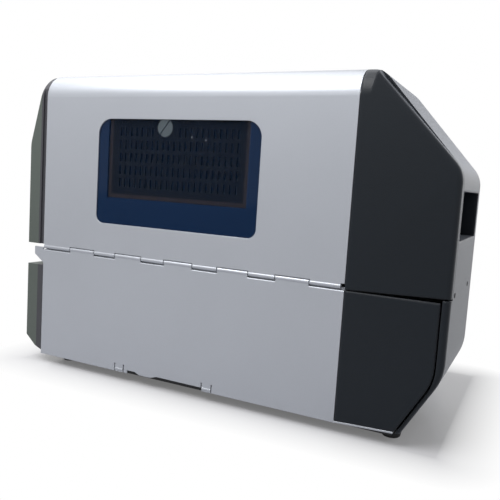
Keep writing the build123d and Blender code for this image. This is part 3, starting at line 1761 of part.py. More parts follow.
pieces = {
    "base_pan": base_pan,
    "feet": feet,
    "centre_wall": centre_wall,
    "front_bulkhead": front_bulkhead,
    "electronics_cover": electronics_cover,
    "rear_panel": rear_panel,
    "rear_frame": rear_frame,
    "front_cover_upper": front_cover_upper,
    "front_cover_lower": front_cover_lower,
    "display_lens": display_lens,
    "keypad_bezel": keypad_bezel,
    "control_boards": control_boards,
    "power_inlet": power_inlet,
    "power_rocker": power_rocker,
    "data_ports": data_ports,
    "top_hinge_leaf": top_hinge_leaf,
    "top_hinge_pin": top_hinge_pin,
    "media_door_upper": media_door_upper,
    "door_cover_upper": door_cover_upper,
    "door_liner_upper": door_liner_upper,
    "window_pane": window_pane,
    "window_grille": window_grille,
    "grille_stud": grille_stud,
    "fold_hinge_pin": fold_hinge_pin,
    "media_door_lower": media_door_lower,
    "door_cover_lower": door_cover_lower,
    "door_liner_lower": door_liner_lower,
    "print_unit_frame": print_unit_frame,
    "shaft_bushes": shaft_bushes,
    "platen_roller": platen_roller,
    "platen_shaft": platen_shaft,
    "platen_pulley": platen_pulley,
    "motor_pulley": motor_pulley,
    "drive_belt": drive_belt,
    "motor_bracket": motor_bracket,
    "drive_motor": drive_motor,
    "tear_bar": tear_bar,
    "idler_roller": idler_roller,
    "label_sensor": label_sensor,
    "printhead_bracket": printhead_bracket,
    "printhead": printhead,
    "head_lever": head_lever,
    "ribbon_supply_spindle": ribbon_supply_spindle,
    "ribbon_takeup_spindle": ribbon_takeup_spindle,
    "guide_rods": guide_rods,
    "media_hanger": media_hanger,
    "media_guide": media_guide,
    "tension_arm": tension_arm,
    "logic_board": logic_board,
    "board_parts": board_parts,
    "power_supply": power_supply,
}

os.makedirs("parts", exist_ok=True)
for node, make in pieces.items():
    export_step(make(), f"parts/{node}.step")
for node, x, z, width, height in key_places():
    export_step(key_cap(x, z, width, height), f"parts/{node}.step")
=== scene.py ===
"""Dresses the label printer: finishes for all its parts, fasteners, key symbols and a studio."""

import math

import bmesh
import bpy
from mathutils import Matrix, Vector


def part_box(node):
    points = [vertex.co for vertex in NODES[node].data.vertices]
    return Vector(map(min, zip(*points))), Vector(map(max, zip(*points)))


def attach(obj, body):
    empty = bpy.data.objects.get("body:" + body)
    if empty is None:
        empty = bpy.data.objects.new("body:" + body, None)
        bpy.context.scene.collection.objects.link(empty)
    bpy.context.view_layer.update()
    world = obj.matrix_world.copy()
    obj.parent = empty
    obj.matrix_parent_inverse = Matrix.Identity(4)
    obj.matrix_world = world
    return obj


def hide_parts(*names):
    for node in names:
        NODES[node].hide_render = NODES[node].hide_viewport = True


bl_info = {
    "name": "Label Printer Dressing",
    "version": (1, 0, 0),
    "blender": (4, 2, 0),
    "location": "3D Viewport > Sidebar > Printer",
    "description": "Finishes, fasteners and studio for an industrial label printer",
    "category": "Object",
}

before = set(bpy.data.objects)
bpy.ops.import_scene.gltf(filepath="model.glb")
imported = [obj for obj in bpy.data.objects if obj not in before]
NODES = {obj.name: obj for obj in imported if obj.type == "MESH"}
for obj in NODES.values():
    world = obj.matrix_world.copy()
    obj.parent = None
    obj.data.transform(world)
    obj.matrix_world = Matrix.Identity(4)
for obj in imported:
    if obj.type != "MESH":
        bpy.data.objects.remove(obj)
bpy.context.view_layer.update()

# Places on the printer's own parts, in metres

COVER_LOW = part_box("electronics_cover")[0]
SHELL_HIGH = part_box("rear_frame")[1]
KEYPAD_LOW, KEYPAD_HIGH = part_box("keypad_bezel")
INLET_LOW, INLET_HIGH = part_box("power_inlet")
GRILLE_LOW, GRILLE_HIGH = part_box("window_grille")

MM = 0.001
HALF_WIDTH = -COVER_LOW.x
DOOR_LOW_Z = COVER_LOW.z
FACE_X = SHELL_HIGH.x
REAR_Y = SHELL_HIGH.y
PANEL_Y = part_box("rear_panel")[1].y
WALL_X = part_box("print_unit_frame")[0].x
DOOR_FRONT_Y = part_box("media_door_upper")[0].y
KEYPAD_X = (KEYPAD_LOW.x + KEYPAD_HIGH.x) / 2
INLET_X = (INLET_LOW.x + INLET_HIGH.x) / 2
NETWORK_X = -0.028
USB_X = -0.050
PRINTER_MIDDLE = (0, 0, 0.16)

# Values that several finishes share

SHARP_EDGE = 0.0002
FINE_EDGE = 0.0003
SOFT_EDGE = 0.0004
BEVEL_SAMPLES = 6
BOARD_DARK = (0.006, 0.070, 0.030)
BOARD_PALE = (0.012, 0.105, 0.045)
MARK_STRETCH = (90, 1, 1)

# Scale of a screw that is smaller than the rest

SMALL_SCREW = 0.9

# Sockets of a Mix node that is set to colours

MIX_FACTOR = 0
MIX_LOW = 6
MIX_HIGH = 7
MIX_RESULT = 2


# Properties

class PrinterFinishes(bpy.types.PropertyGroup):
    """Colours of the printer's main surfaces."""

    silver: bpy.props.FloatVectorProperty(
        name="Silver paint", description="Paint of the doors and the electronics cover",
        subtype="COLOR", size=3, min=0, max=1, default=(0.415, 0.435, 0.475),
    )
    shell: bpy.props.FloatVectorProperty(
        name="Black moulding", description="Rear shell and the black ends of the doors",
        subtype="COLOR", size=3, min=0, max=1, default=(0.004, 0.007, 0.011),
    )
    front: bpy.props.FloatVectorProperty(
        name="Front moulding", description="Grey-black front covers",
        subtype="COLOR", size=3, min=0, max=1, default=(0.075, 0.090, 0.080),
    )
    pane: bpy.props.FloatVectorProperty(
        name="Window tint", description="Colour of the tinted window",
        subtype="COLOR", size=3, min=0, max=1, default=(0.003, 0.016, 0.050),
    )
    accent: bpy.props.FloatVectorProperty(
        name="Release levers", description="Touch points inside the media side",
        subtype="COLOR", size=3, min=0, max=1, default=(0.02, 0.10, 0.30),
    )
    edge_round: bpy.props.FloatProperty(
        name="Edge rounding", description="Radius by which moulded edges catch the light",
        unit="LENGTH", min=0.0001, max=0.003, default=0.0007,
    )


class PrinterFasteners(bpy.types.PropertyGroup):
    """Sizes of the small fasteners and marks."""

    head_radius: bpy.props.FloatProperty(
        name="Screw head", description="Radius of a pan head",
        unit="LENGTH", min=0.001, max=0.006, default=0.0027,
    )
    head_height: bpy.props.FloatProperty(
        name="Head height", description="Height of a pan head above its seat",
        unit="LENGTH", min=0.0003, max=0.003, default=0.0011,
    )
    symbol_height: bpy.props.FloatProperty(
        name="Symbol relief", description="Height of the key symbols above the key",
        unit="LENGTH", min=0.00002, max=0.0005, default=0.00012,
    )


class StudioSettings(bpy.types.PropertyGroup):
    """Floor, lamps and camera."""

    key_power: bpy.props.FloatProperty(
        name="Key lamp", description="Power of the large soft lamp above the front",
        unit="POWER", min=0, max=200, default=13.5,
    )
    crest_power: bpy.props.FloatProperty(
        name="Crest lamp", description="Power of the soft lamp that lights the rounded top edge",
        unit="POWER", min=0, max=200, default=7.0,
    )
    rear_power: bpy.props.FloatProperty(
        name="Rear lamp", description="Power of the soft lamp behind the printer",
        unit="POWER", min=0, max=200, default=4.0,
    )
    sky: bpy.props.FloatProperty(
        name="Room light", description="Strength of the even light from all sides",
        min=0, max=2, default=0.40,
    )
    focal_length: bpy.props.FloatProperty(
        name="Focal length", description="Focal length of the camera",
        unit="CAMERA", min=10, max=200, default=43.71,
    )
    shadow_rise: bpy.props.FloatProperty(
        name="Shadow rise", description="How soon the floor turns white: lower is sooner",
        min=0.05, max=4, default=0.30,
    )
    shadow_end: bpy.props.FloatProperty(
        name="Shadow end", description="Distance from the printer where the floor is white",
        unit="LENGTH", min=0.02, max=2, default=0.055,
    )
    shadow_white: bpy.props.FloatProperty(
        name="Shadow lightness", description="Share of white in the floor right beside the printer",
        subtype="FACTOR", min=0, max=1, default=0.15,
    )
    floor_half: bpy.props.FloatProperty(
        name="Floor half width", description="Half the width of the pale floor",
        unit="LENGTH", min=1, max=20, default=6.0,
    )


# Shader maths

class Reading:
    """A number that varies over a surface: a socket that takes part in arithmetic."""

    def __init__(self, finish, socket):
        self.finish = finish
        self.socket = socket

    def _with(self, operation, other, swapped=False):
        node = self.finish.tree.nodes.new("ShaderNodeMath")
        node.operation = operation
        first, second = (other, self) if swapped else (self, other)
        for index, item in enumerate((first, second)):
            if isinstance(item, Reading):
                self.finish.tree.links.new(item.socket, node.inputs[index])
            elif item is not None:
                node.inputs[index].default_value = item
        return Reading(self.finish, node.outputs[0])

    def __add__(self, other):
        return self._with("ADD", other)

    def __radd__(self, other):
        return self._with("ADD", other, True)

    def __sub__(self, other):
        return self._with("SUBTRACT", other)

    def __rsub__(self, other):
        return self._with("SUBTRACT", other, True)

    def __mul__(self, other):
        return self._with("MULTIPLY", other)

    def __rmul__(self, other):
        return self._with("MULTIPLY", other, True)

    def __truediv__(self, other):
        return self._with("DIVIDE", other)

    def __gt__(self, other):
        return self._with("GREATER_THAN", other)

    def __lt__(self, other):
        return self._with("LESS_THAN", other)

    def __mod__(self, other):
        return self._with("MODULO", other)

    def __abs__(self):
        return self._with("ABSOLUTE", None)

    def __pow__(self, other):
        return self._with("POWER", other)

    def larger(self, other):
        """The larger of the two."""
        return self._with("MAXIMUM", other)

    def between(self, low, high):
        """1 inside the range, 0 outside it."""
        return (self > low) * (self < high)


class Finish:
    """A surface finish under construction, on the object's own coordinates."""

    def __init__(self, name):
        self.material = bpy.data.materials.new(name)
        self.material.use_nodes = True
        self.tree = self.material.node_tree
        self.shader = next(n for n in self.tree.nodes if n.type == "BSDF_PRINCIPLED")
        self.place = self.node("ShaderNodeTexCoord").outputs["Object"]

    def node(self, kind, settings=None, **inputs):
        """Adds a node: its settings first, then the values or links of its sockets."""
        node = self.tree.nodes.new(kind)
        for key, value in (settings or {}).items():
            setattr(node, key, value)
        for key, value in inputs.items():
            self.plug(node.inputs[key.replace("_", " ")], value)
        return node

    def plug(self, socket, value):
        """Sets a socket to a value or links it."""
        if isinstance(value, Reading):
            value = value.socket
        if isinstance(value, bpy.types.NodeSocket):
            self.tree.links.new(value, socket)
        elif hasattr(value, "__len__") and len(value) == 3 and socket.type == "RGBA":
            socket.default_value = (*value, 1.0)
        else:
            socket.default_value = value

    def set(self, **inputs):
        """Sets or links the shader's own sockets."""
        for key, value in inputs.items():
            self.plug(self.shader.inputs[key.replace("_", " ")], value)
        return self

    def axis(self, name):
        """X, Y or Z of the surface, in metres."""
        split = self.node("ShaderNodeSeparateXYZ", Vector=self.place)
        return Reading(self, split.outputs[name])

    def stretched(self, scale):
        """Coordinates stretched by a different amount along each axis."""
        node = self.node("ShaderNodeMapping", Vector=self.place)
        node.inputs["Scale"].default_value = scale
        return node.outputs["Vector"]

    def noise(self, scale, detail=2.0, roughness=0.5, at=None):
        """Soft noise from 0 to 1."""
        node = self.node(
            "ShaderNodeTexNoise", Vector=at or self.place, Scale=scale, Detail=detail, Roughness=roughness
        )
        return Reading(self, node.outputs[0])

    def cells(self, scale):
        """Distance to the nearest of many scattered points."""
        node = self.node("ShaderNodeTexVoronoi", Vector=self.place, Scale=scale)
        return Reading(self, node.outputs["Distance"])

    def mix(self, factor, low, high):
        """Colour between two colours."""
        node = self.node("ShaderNodeMix", {"data_type": "RGBA"})
        self.plug(node.inputs[MIX_FACTOR], factor)
        self.plug(node.inputs[MIX_LOW], low)
        self.plug(node.inputs[MIX_HIGH], high)
        return node.outputs[MIX_RESULT]

    def edge(self, radius):
        """Normal that turns softly over each edge."""
        return self.node("ShaderNodeBevel", {"samples": BEVEL_SAMPLES}, Radius=radius).outputs[0]

    def relief(self, height, depth, rounding):
        """Fine relief of a given depth over the surface, with rounded edges."""
        edge = self.edge(rounding)
        bump = self.node("ShaderNodeBump", Height=height, Distance=depth, Strength=1.0, Normal=edge)
        return self.set(Normal=bump.outputs[0])

    def rounded(self, radius):
        """Rounded edges alone."""
        return self.set(Normal=self.edge(radius))


def tint(colour, factor):
    """A colour made lighter or darker, with no channel past full."""
    return tuple(min(1.0, c * factor) for c in colour)


# Finishes

def silver_paint(name, look):
    """Satin silver paint with a fine flake."""
    finish = Finish(name)
    flake = finish.noise(2600, detail=1.0)
    cloud = finish.noise(14, detail=3.0)
    colour = finish.mix(flake * 0.7 + cloud * 0.3, tint(look.silver, 0.90), tint(look.silver, 1.10))
    finish.set(Base_Color=colour, Metallic=0.55, Roughness=0.34 + flake * 0.08)
    return finish.relief(flake, depth=0.00003, rounding=look.edge_round)


def grained_moulding(
    name, colour, look, grain=1500, roughness=0.42, shine=0.5, rounding=1.0, sheen=0.0, painted_edge_shade=False,
):
    """Moulded plastic with a fine sparked grain, and a band of painted shade beside the doors where
    asked.
    """
    finish = Finish(name)
    pits = finish.cells(grain)
    drift = finish.noise(9, detail=3.0)
    shade = finish.mix(drift, tint(colour, 0.88), tint(colour, 1.16))
    if painted_edge_shade:
        # Painted shade: a darker band on the covers' edge beside the doors, standing in for its shadow.
        shade_band_start = DOOR_FRONT_Y - 8 * MM
        shade_band_colour = (0.040, 0.040, 0.048)
        shade = finish.mix(finish.axis("Y") > shade_band_start, shade, shade_band_colour)
    finish.set(Base_Color=shade, Roughness=roughness + pits * 0.16, Specular_IOR_Level=shine)
    finish.set(Sheen_Weight=sheen, Sheen_Roughness=0.45, Sheen_Tint=(0.80, 0.86, 1.0))
    return finish.relief(pits, depth=0.00005, rounding=look.edge_round * rounding)


def smooth_moulding(name, colour, roughness):
    """Plain moulded plastic."""
    finish = Finish(name)
    drift = finish.noise(25, detail=3.0)
    shade = finish.mix(drift, tint(colour, 0.9), tint(colour, 1.1))
    finish.set(Base_Color=shade, Roughness=roughness + drift * 0.08)
    return finish.rounded(SOFT_EDGE)


def rolled_steel(name, colour=(0.52, 0.53, 0.55), stretch=(1, 60, 60)):
    """Zinc-plated or ground steel with a grain along one axis."""
    finish = Finish(name)
    grain = finish.noise(40, detail=4.0, roughness=0.6, at=finish.stretched(stretch))
    bloom = finish.noise(60)
    shade = finish.mix(grain * 0.6 + bloom * 0.4, tint(colour, 0.82), tint(colour, 1.12))
    finish.set(Base_Color=shade, Metallic=1.0, Roughness=0.26 + grain * 0.20)
    return finish.rounded(FINE_EDGE)


def soft_rubber(name, colour=(0.018, 0.018, 0.019)):
    """Matt rubber."""
    finish = Finish(name)
    grain = finish.noise(900)
    shade = finish.mix(grain, tint(colour, 0.8), tint(colour, 1.3))
    finish.set(Base_Color=shade, Roughness=0.72 + grain * 0.12)
    return finish.relief(grain, depth=0.00006, rounding=0.0006)


def machined_metal(name, colour):
    """Machined metal with fine turning marks."""
    finish = Finish(name)
    marks = finish.noise(30, detail=3.0, at=finish.stretched(MARK_STRETCH))
    shade = finish.mix(marks, tint(colour, 0.86), tint(colour, 1.1))
    finish.set(Base_Color=shade, Metallic=1.0, Roughness=0.24 + marks * 0.2)
    return finish.rounded(FINE_EDGE)


def tinted_pane(name, look):
    """Dark tinted window, clearer before the slotted panel so that it shows."""
    cover = 0.88
    cleared = 0.76
    finish = Finish(name)
    across = finish.axis("Y").between(GRILLE_LOW.y, GRILLE_HIGH.y)
    before_grille = across * (finish.axis("Z") > GRILLE_LOW.z)
    haze = finish.noise(6)
    shade = finish.mix(haze, look.pane, tint(look.pane, 1.3))
    finish.set(Base_Color=shade, Roughness=0.05 + haze * 0.03)
    return finish.set(Alpha=cover - before_grille * cleared, Specular_IOR_Level=0.15)


def clear_lens(name):
    """Smoked lens over the display."""
    finish = Finish(name)
    haze = finish.noise(8)
    shade = finish.mix(haze, (0.010, 0.012, 0.013), (0.018, 0.020, 0.022))
    return finish.set(Base_Color=shade, Roughness=0.08, Alpha=0.75)


def slotted_grille(name):
    """Near-black panel with a brown-grey border."""
    side_border = 4.2 * MM
    low_border = 4.4 * MM
    border_colour = (0.038, 0.030, 0.026)
    finish = Finish(name)
    middle = (GRILLE_LOW.y + GRILLE_HIGH.y) / 2
    half = (GRILLE_HIGH.y - GRILLE_LOW.y) / 2
    across = abs(finish.axis("Y") - middle) > half - side_border
    below = finish.axis("Z") < GRILLE_LOW.z + low_border
    speck = finish.noise(500)
    field = finish.mix(speck, (0.004, 0.005, 0.006), (0.008, 0.009, 0.010))
    shade = finish.mix(across.larger(below), field, border_colour)
    finish.set(Base_Color=shade, Roughness=0.62 + speck * 0.1, Specular_IOR_Level=0.06)
    return finish.rounded(FINE_EDGE)


def circuit_board(name):
    """Green solder mask with copper runs and pads."""
    pitch = 0.0032
    half_run = 0.0004
    wander = 0.012
    run_colour = (0.030, 0.19, 0.085)
    finish = Finish(name)
    lane = finish.noise(45)
    course = finish.axis("Y") + finish.axis("Z") * 0.5 + lane * wander
    runs = abs(course % pitch - pitch / 2) < half_run
    field = finish.noise(70, detail=1.0) > 0.52
    base = finish.mix(lane, BOARD_DARK, BOARD_PALE)
    shade = finish.mix(runs * field, base, run_colour)
    return finish.set(Base_Color=shade, Roughness=0.34 + lane * 0.1)


def board_mix(name):
    """Parts on the logic board: black chips, pale connectors, sleeves and the heat sink."""
    sink_rear, sink_front = 0.0113, -0.0205
    sink_low, sink_high = 0.1295, 0.1705
    sleeve_front, sleeve_rear = 0.1435, 0.1565
    chip_tops = -0.0215
    connector_colour = (0.62, 0.58, 0.48)
    sleeve_colour = (0.020, 0.035, 0.11)
    sink_colour = (0.42, 0.43, 0.45)
    finish = Finish(name)
    along = finish.axis("Y")
    sink = along.between(sink_front, sink_rear) * finish.axis("Z").between(sink_low, sink_high)
    sleeve = along.between(sleeve_front, sleeve_rear)
    socket = (finish.axis("X") < chip_tops) * (1 - sink) * (1 - sleeve)
    speck = finish.noise(300)
    colour = finish.mix(speck, (0.012, 0.012, 0.013), (0.022, 0.022, 0.024))
    colour = finish.mix(socket, colour, connector_colour)
    colour = finish.mix(sleeve, colour, sleeve_colour)
    colour = finish.mix(sink, colour, sink_colour)
    finish.set(Base_Color=colour, Metallic=sink * 0.9, Roughness=0.42 + speck * 0.1)
    return finish.rounded(FINE_EDGE)


def panel_sockets(name):
    """Plated shells with dark mouths."""
    mouth_start = PANEL_Y - 0.4 * MM
    mouth_colour = (0.015, 0.015, 0.017)
    finish = Finish(name)
    inside = finish.axis("Y") < mouth_start
    speck = finish.noise(250)
    shell = finish.mix(speck, (0.48, 0.49, 0.51), (0.60, 0.61, 0.63))
    shade = finish.mix(inside, shell, mouth_colour)
    finish.set(Base_Color=shade, Metallic=1 - inside, Roughness=0.30 + inside * 0.25)
    return finish.rounded(SHARP_EDGE)


def inlet_moulding(name):
    """Black inlet with plated blades in its well."""
    blade_offset = 0.007
    half_blade = 1.3 * MM
    outer_low, outer_high = 0.0996, 0.1044
    middle_low, middle_high = 0.1046, 0.1094
    blade_root, blade_tip = PANEL_Y - 0.0172, PANEL_Y - 0.0025
    blade_colour = (0.60, 0.60, 0.58)
    finish = Finish(name)
    height = finish.axis("Z")
    aside = abs(finish.axis("X") - INLET_X)
    outer = (abs(aside - blade_offset) < half_blade) * height.between(outer_low, outer_high)
    middle = (aside < half_blade) * height.between(middle_low, middle_high)
    blade = outer.larger(middle) * finish.axis("Y").between(blade_root, blade_tip)
    speck = finish.noise(400)
    body = finish.mix(speck, (0.014, 0.014, 0.015), (0.024, 0.024, 0.026))
    shade = finish.mix(blade, body, blade_colour)
    finish.set(Base_Color=shade, Metallic=blade, Roughness=0.45 - blade * 0.15)
    return finish.rounded(FINE_EDGE)


def display_mix(name):
    """Boards of the control panel with the grey-green display glass."""
    glass_low = 0.240
    glass_rear = -0.2195
    glass_colour = (0.10, 0.12, 0.105)
    finish = Finish(name)
    glass = (finish.axis("Z") > glass_low) * (finish.axis("Y") < glass_rear)
    lane = finish.noise(60)
    shade = finish.mix(glass, finish.mix(lane, BOARD_DARK, BOARD_PALE), glass_colour)
    return finish.set(Base_Color=shade, Roughness=0.35 + lane * 0.08)


def printhead_mix(name):
    """Machined carrier with a pale ceramic strip and its dark glaze line."""
    strip_top, glaze_top = 0.1235, 0.1216
    glaze_front, glaze_rear = -0.1995, -0.1975
    ceramic = (0.55, 0.50, 0.42)
    glaze_colour = (0.05, 0.045, 0.04)
    finish = Finish(name)
    height = finish.axis("Z")
    strip = height < strip_top
    glaze = finish.axis("Y").between(glaze_front, glaze_rear) * (height < glaze_top)
    marks = finish.noise(30, detail=3.0, at=finish.stretched(MARK_STRETCH))
    metal = finish.mix(marks, (0.50, 0.51, 0.52), (0.66, 0.67, 0.68))
    colour = finish.mix(strip, metal, ceramic)
    colour = finish.mix(glaze, colour, glaze_colour)
    finish.set(Base_Color=colour, Metallic=1 - strip, Roughness=0.28 + marks * 0.15)
    return finish.rounded(FINE_EDGE)


def motor_mix(name):
    """Black motor can between bright laminations."""
    stack_left, stack_right = -0.0565, -0.0307
    sheet = 0.0010
    stack_colour = (0.36, 0.36, 0.37)
    finish = Finish(name)
    along = finish.axis("X")
    stack = along.between(stack_left, stack_right)
    layers = abs(along % sheet - sheet / 2) / sheet
    dark = finish.noise(300)
    colour = finish.mix(dark, (0.015, 0.015, 0.017), (0.030, 0.030, 0.032))
    colour = finish.mix(stack, colour, stack_colour)
    finish.set(Base_Color=colour, Metallic=stack * 0.9, Roughness=0.36 + layers * 0.1)
    return finish.rounded(SOFT_EDGE)


def plain(name, colour, roughness, metallic=0.0, glow=0.0):
    """Even colour with a trace of wear."""
    finish = Finish(name)
    wear = finish.noise(200)
    shade = finish.mix(wear, tint(colour, 0.92), tint(colour, 1.06))
    finish.set(Base_Color=shade, Metallic=metallic, Roughness=roughness + wear * 0.06)
    if glow:
        finish.set(Emission_Color=(*colour, 1.0), Emission_Strength=glow)
    return finish


def finish_table(look):
    """Every finish by name."""
    return {
        "silver": silver_paint("Silver paint", look),
        "shell": grained_moulding(
            "Black moulding", look.shell, look, roughness=0.31, shine=0.22, rounding=4.0, sheen=0.22
        ),
        # The front covers carry a band of painted shade along their edge beside the doors.
        "front": grained_moulding(
            "Front moulding", look.front, look, grain=1300, roughness=0.46, painted_edge_shade=True
        ),
        "liner": smooth_moulding("Door liner plastic", (0.045, 0.047, 0.052), 0.55),
        "grille": slotted_grille("Window grille"),
        "pane": tinted_pane("Tinted window", look),
        "lens": clear_lens("Display lens"),
        "zinc": rolled_steel("Zinc-plated sheet"),
        # Near-black base pan: painted shade for the shadowed underside seen through the grip recess.
        "pan": smooth_moulding("Base pan painted shade", (0.020, 0.021, 0.023), 0.6),
        "stud": machined_metal("Dull nickel", (0.16, 0.19, 0.20)),
        "frame": grained_moulding("Frame paint", (0.10, 0.105, 0.115), look, grain=1100),
        "ground": rolled_steel("Ground steel", (0.60, 0.60, 0.61), (1, 80, 80)),
        "bronze": machined_metal("Sintered bronze", (0.48, 0.30, 0.13)),
        "aluminium": machined_metal("Machined aluminium", (0.60, 0.61, 0.62)),
        "foot": soft_rubber("Foot rubber"),
        "platen": soft_rubber("Platen rubber", (0.050, 0.050, 0.053)),
        "belt": soft_rubber("Belt rubber", (0.014, 0.014, 0.015)),
        "motor": motor_mix("Motor"),
        "board": circuit_board("Circuit board"),
        "parts": board_mix("Board parts"),
        "display": display_mix("Control boards"),
        "ports": panel_sockets("Data sockets"),
        "inlet": inlet_moulding("Power inlet"),
        "printhead": printhead_mix("Printhead"),
        "key": smooth_moulding("Key plastic", (0.36, 0.37, 0.39), 0.45),
        "lever": smooth_moulding("Release lever", look.accent, 0.35),
        "carrier": smooth_moulding("Media plastic", (0.060, 0.063, 0.068), 0.42),
        "screw": machined_metal("Screw steel", (0.30, 0.30, 0.32)),
        # Near black: painted shade in the screws' cross recesses; the rear frame's screw heads use it all
        # over.
        "recess": plain("Painted recess shade and rear screw heads", (0.004, 0.004, 0.004), roughness=0.8),
        "mark": plain("Key symbol", (0.030, 0.032, 0.036), roughness=0.5),
        "pale_mark": plain("Panel symbol", (0.55, 0.57, 0.58), roughness=0.5),
        "gold": plain("Contact gold", (0.75, 0.52, 0.18), metallic=1.0, roughness=0.25),
        "lamp_green": plain("Green lamp", (0.03, 0.35, 0.08), roughness=0.3, glow=0.3),
        "lamp_amber": plain("Amber lamp", (0.45, 0.20, 0.02), roughness=0.3),
    }


NODE_FINISH = {
    "base_pan": "pan", "feet": "foot", "centre_wall": "frame", "front_bulkhead": "frame",
    "electronics_cover": "silver", "rear_panel": "zinc", "rear_frame": "shell",
    "front_cover_upper": "front", "front_cover_lower": "front", "display_lens": "lens",
    "keypad_bezel": "liner", "control_boards": "display", "power_inlet": "inlet",
    "power_rocker": "liner", "data_ports": "ports", "top_hinge_leaf": "zinc",
    "top_hinge_pin": "ground", "media_door_upper": "silver", "door_cover_upper": "shell",
    "door_liner_upper": "liner", "window_pane": "pane", "window_grille": "grille",
    "grille_stud": "stud", "fold_hinge_pin": "ground", "media_door_lower": "silver",
    "door_cover_lower": "shell", "door_liner_lower": "liner", "print_unit_frame": "zinc",
    "shaft_bushes": "bronze", "platen_roller": "platen", "platen_shaft": "ground",
    "platen_pulley": "aluminium", "motor_pulley": "aluminium", "drive_belt": "belt",
    "motor_bracket": "zinc", "drive_motor": "motor", "tear_bar": "ground",
    "idler_roller": "ground", "label_sensor": "liner", "guide_rods": "ground",
    "printhead_bracket": "zinc", "printhead": "printhead", "head_lever": "lever",
    "ribbon_supply_spindle": "carrier", "ribbon_takeup_spindle": "carrier",
    "media_hanger": "carrier", "media_guide": "lever", "tension_arm": "ground",
    "logic_board": "board", "board_parts": "parts", "power_supply": "zinc",
}
KEYS = (
    "key_pause", "key_feed", "key_cancel", "key_up", "key_down", "key_left", "key_right", "key_select",
)
FINISHES = {}


# Modelling

def piece(name, body, finish, bm):
    """Turns a bmesh into a piece that rides on a body."""
    mesh = bpy.data.meshes.new(name)
    bmesh.ops.recalc_face_normals(bm, faces=bm.faces)
    bm.to_mesh(mesh)
    bm.free()
    obj = bpy.data.objects.new(name, mesh)
    bpy.context.scene.collection.objects.link(obj)
    mesh.materials.append(FINISHES[finish].material)
    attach(obj, body)
    return obj


def facing(axis, at):
    """Turns +Z to an axis and moves to a point."""
    turn = Vector((0, 0, 1)).rotation_difference(Vector(axis))
    return Matrix.Translation(at) @ turn.to_matrix().to_4x4()


def prism(bm, place, radius, height, segments):
    """Upright prism, round when it has many sides, around a place; gives its corners."""
    return bmesh.ops.create_cone(
        bm, cap_ends=True, segments=segments, radius1=radius, radius2=radius, depth=height, matrix=place
    )["verts"]


def disc(bm, at, axis, radius, height, bevel=0.0, segments=24):
    """Short cylinder that stands on a point, with a rounded top edge."""
    verts = prism(bm, Matrix.Translation((0, 0, height / 2)), radius, height, segments)
    if bevel:
        others = set(bm.verts) - set(verts)
        edges = {edge for vert in verts for edge in vert.link_edges}
        top = [edge for edge in edges if all(vert.co.z > height / 2 for vert in edge.verts)]
        bmesh.ops.bevel(
            bm, geom=top, offset=bevel, segments=2, profile=0.5, affect="EDGES", material=-1
        )
        verts = [vert for vert in bm.verts if vert not in others]
    bmesh.ops.transform(bm, matrix=facing(axis, at), verts=verts)


def slab(bm, centre, size, turn=None):
    """Rectangular block around a point."""
    place = Matrix.Translation(centre) @ (turn or Matrix.Identity(4)) @ Matrix.Diagonal((*size, 1.0))
    bmesh.ops.create_cube(bm, size=1.0, matrix=place)


def screws(name, body, places, axis, finish="screw", scale=1.0):
    """Pan-head screws with painted-shade cross recesses, each turned a little further than the last."""
    sizes = bpy.context.scene.printer_fasteners
    radius = sizes.head_radius * scale
    height = sizes.head_height * scale
    long, narrow = radius * 1.05, radius * 0.26
    sunk, thick = 0.00010, 0.00026
    turn_step = 0.9
    heads = bmesh.new()
    # Thin near-black crosses on each head are painted shade, standing in for the hollow of the recess.
    shade_blocks = bmesh.new()
    for index, at in enumerate(places):
        disc(heads, at, axis, radius, height, bevel=height * 0.55)
        top = facing(axis, Vector(at) + Vector(axis) * (height - sunk))
        top = top @ Matrix.Rotation(index * turn_step, 4, "Z")
        for length, width in ((long, narrow), (narrow, long)):
            bar = Matrix.Diagonal((length, width, thick, 1.0))
            bmesh.ops.create_cube(shade_blocks, size=1.0, matrix=top @ bar)
    piece(name, body, finish, heads)
    piece(name + "_painted_recess_shade", body, "recess", shade_blocks)


# Operators

class PRINTER_OT_finishes(bpy.types.Operator):
    """Give every part of the frame its finish."""

    bl_idname = "printer.finishes"
    bl_label = "Finishes"

    def execute(self, context):
        """Build the finishes and assign them."""
        FINISHES.update(finish_table(context.scene.printer_finishes))
        wanted = {**NODE_FINISH, **dict.fromkeys(KEYS, "key")}
        for name, node in NODES.items():
            material = FINISHES[wanted[name]].material
            if not node.material_slots:
                node.data.materials.append(material)
            for held in node.material_slots:
                held.material = material
        return {"FINISHED"}


class PRINTER_OT_wing_tip(bpy.types.Operator):
    """Lower the pointed tip of the upper door's black wing."""

    bl_idname = "printer.wing_tip"
    bl_label = "Wing tip"

    def execute(self, context):
        """Replace the wing by a copy with a blunter tip."""
        tip_low = 0.316
        tip_front = 0.155
        tip_inner = 0.1258
        slope_width = 0.0045
        inner_share, outer_share = 0.35, 0.5
        merged = 0.000002
        sharp_from = math.radians(30)
        bm = bmesh.new()
        bm.from_mesh(NODES["door_cover_upper"].data)
        bmesh.ops.remove_doubles(bm, verts=bm.verts, dist=merged)
        for vert in bm.verts:
            place = vert.co
            if place.x > tip_inner and place.y > tip_front and place.z > tip_low:
                outwards = min(1.0, (place.x - tip_inner) / slope_width)
                share = inner_share + (outer_share - inner_share) * outwards
                place.z -= (place.z - tip_low) * share
        for face in bm.faces:
            face.smooth = True
        for edge in bm.edges:
            edge.smooth = edge.calc_face_angle(math.pi) < sharp_from
        wing = piece("upper_wing", "upper_door", "shell", bm)
        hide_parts("door_cover_upper")
        return {"FINISHED"}


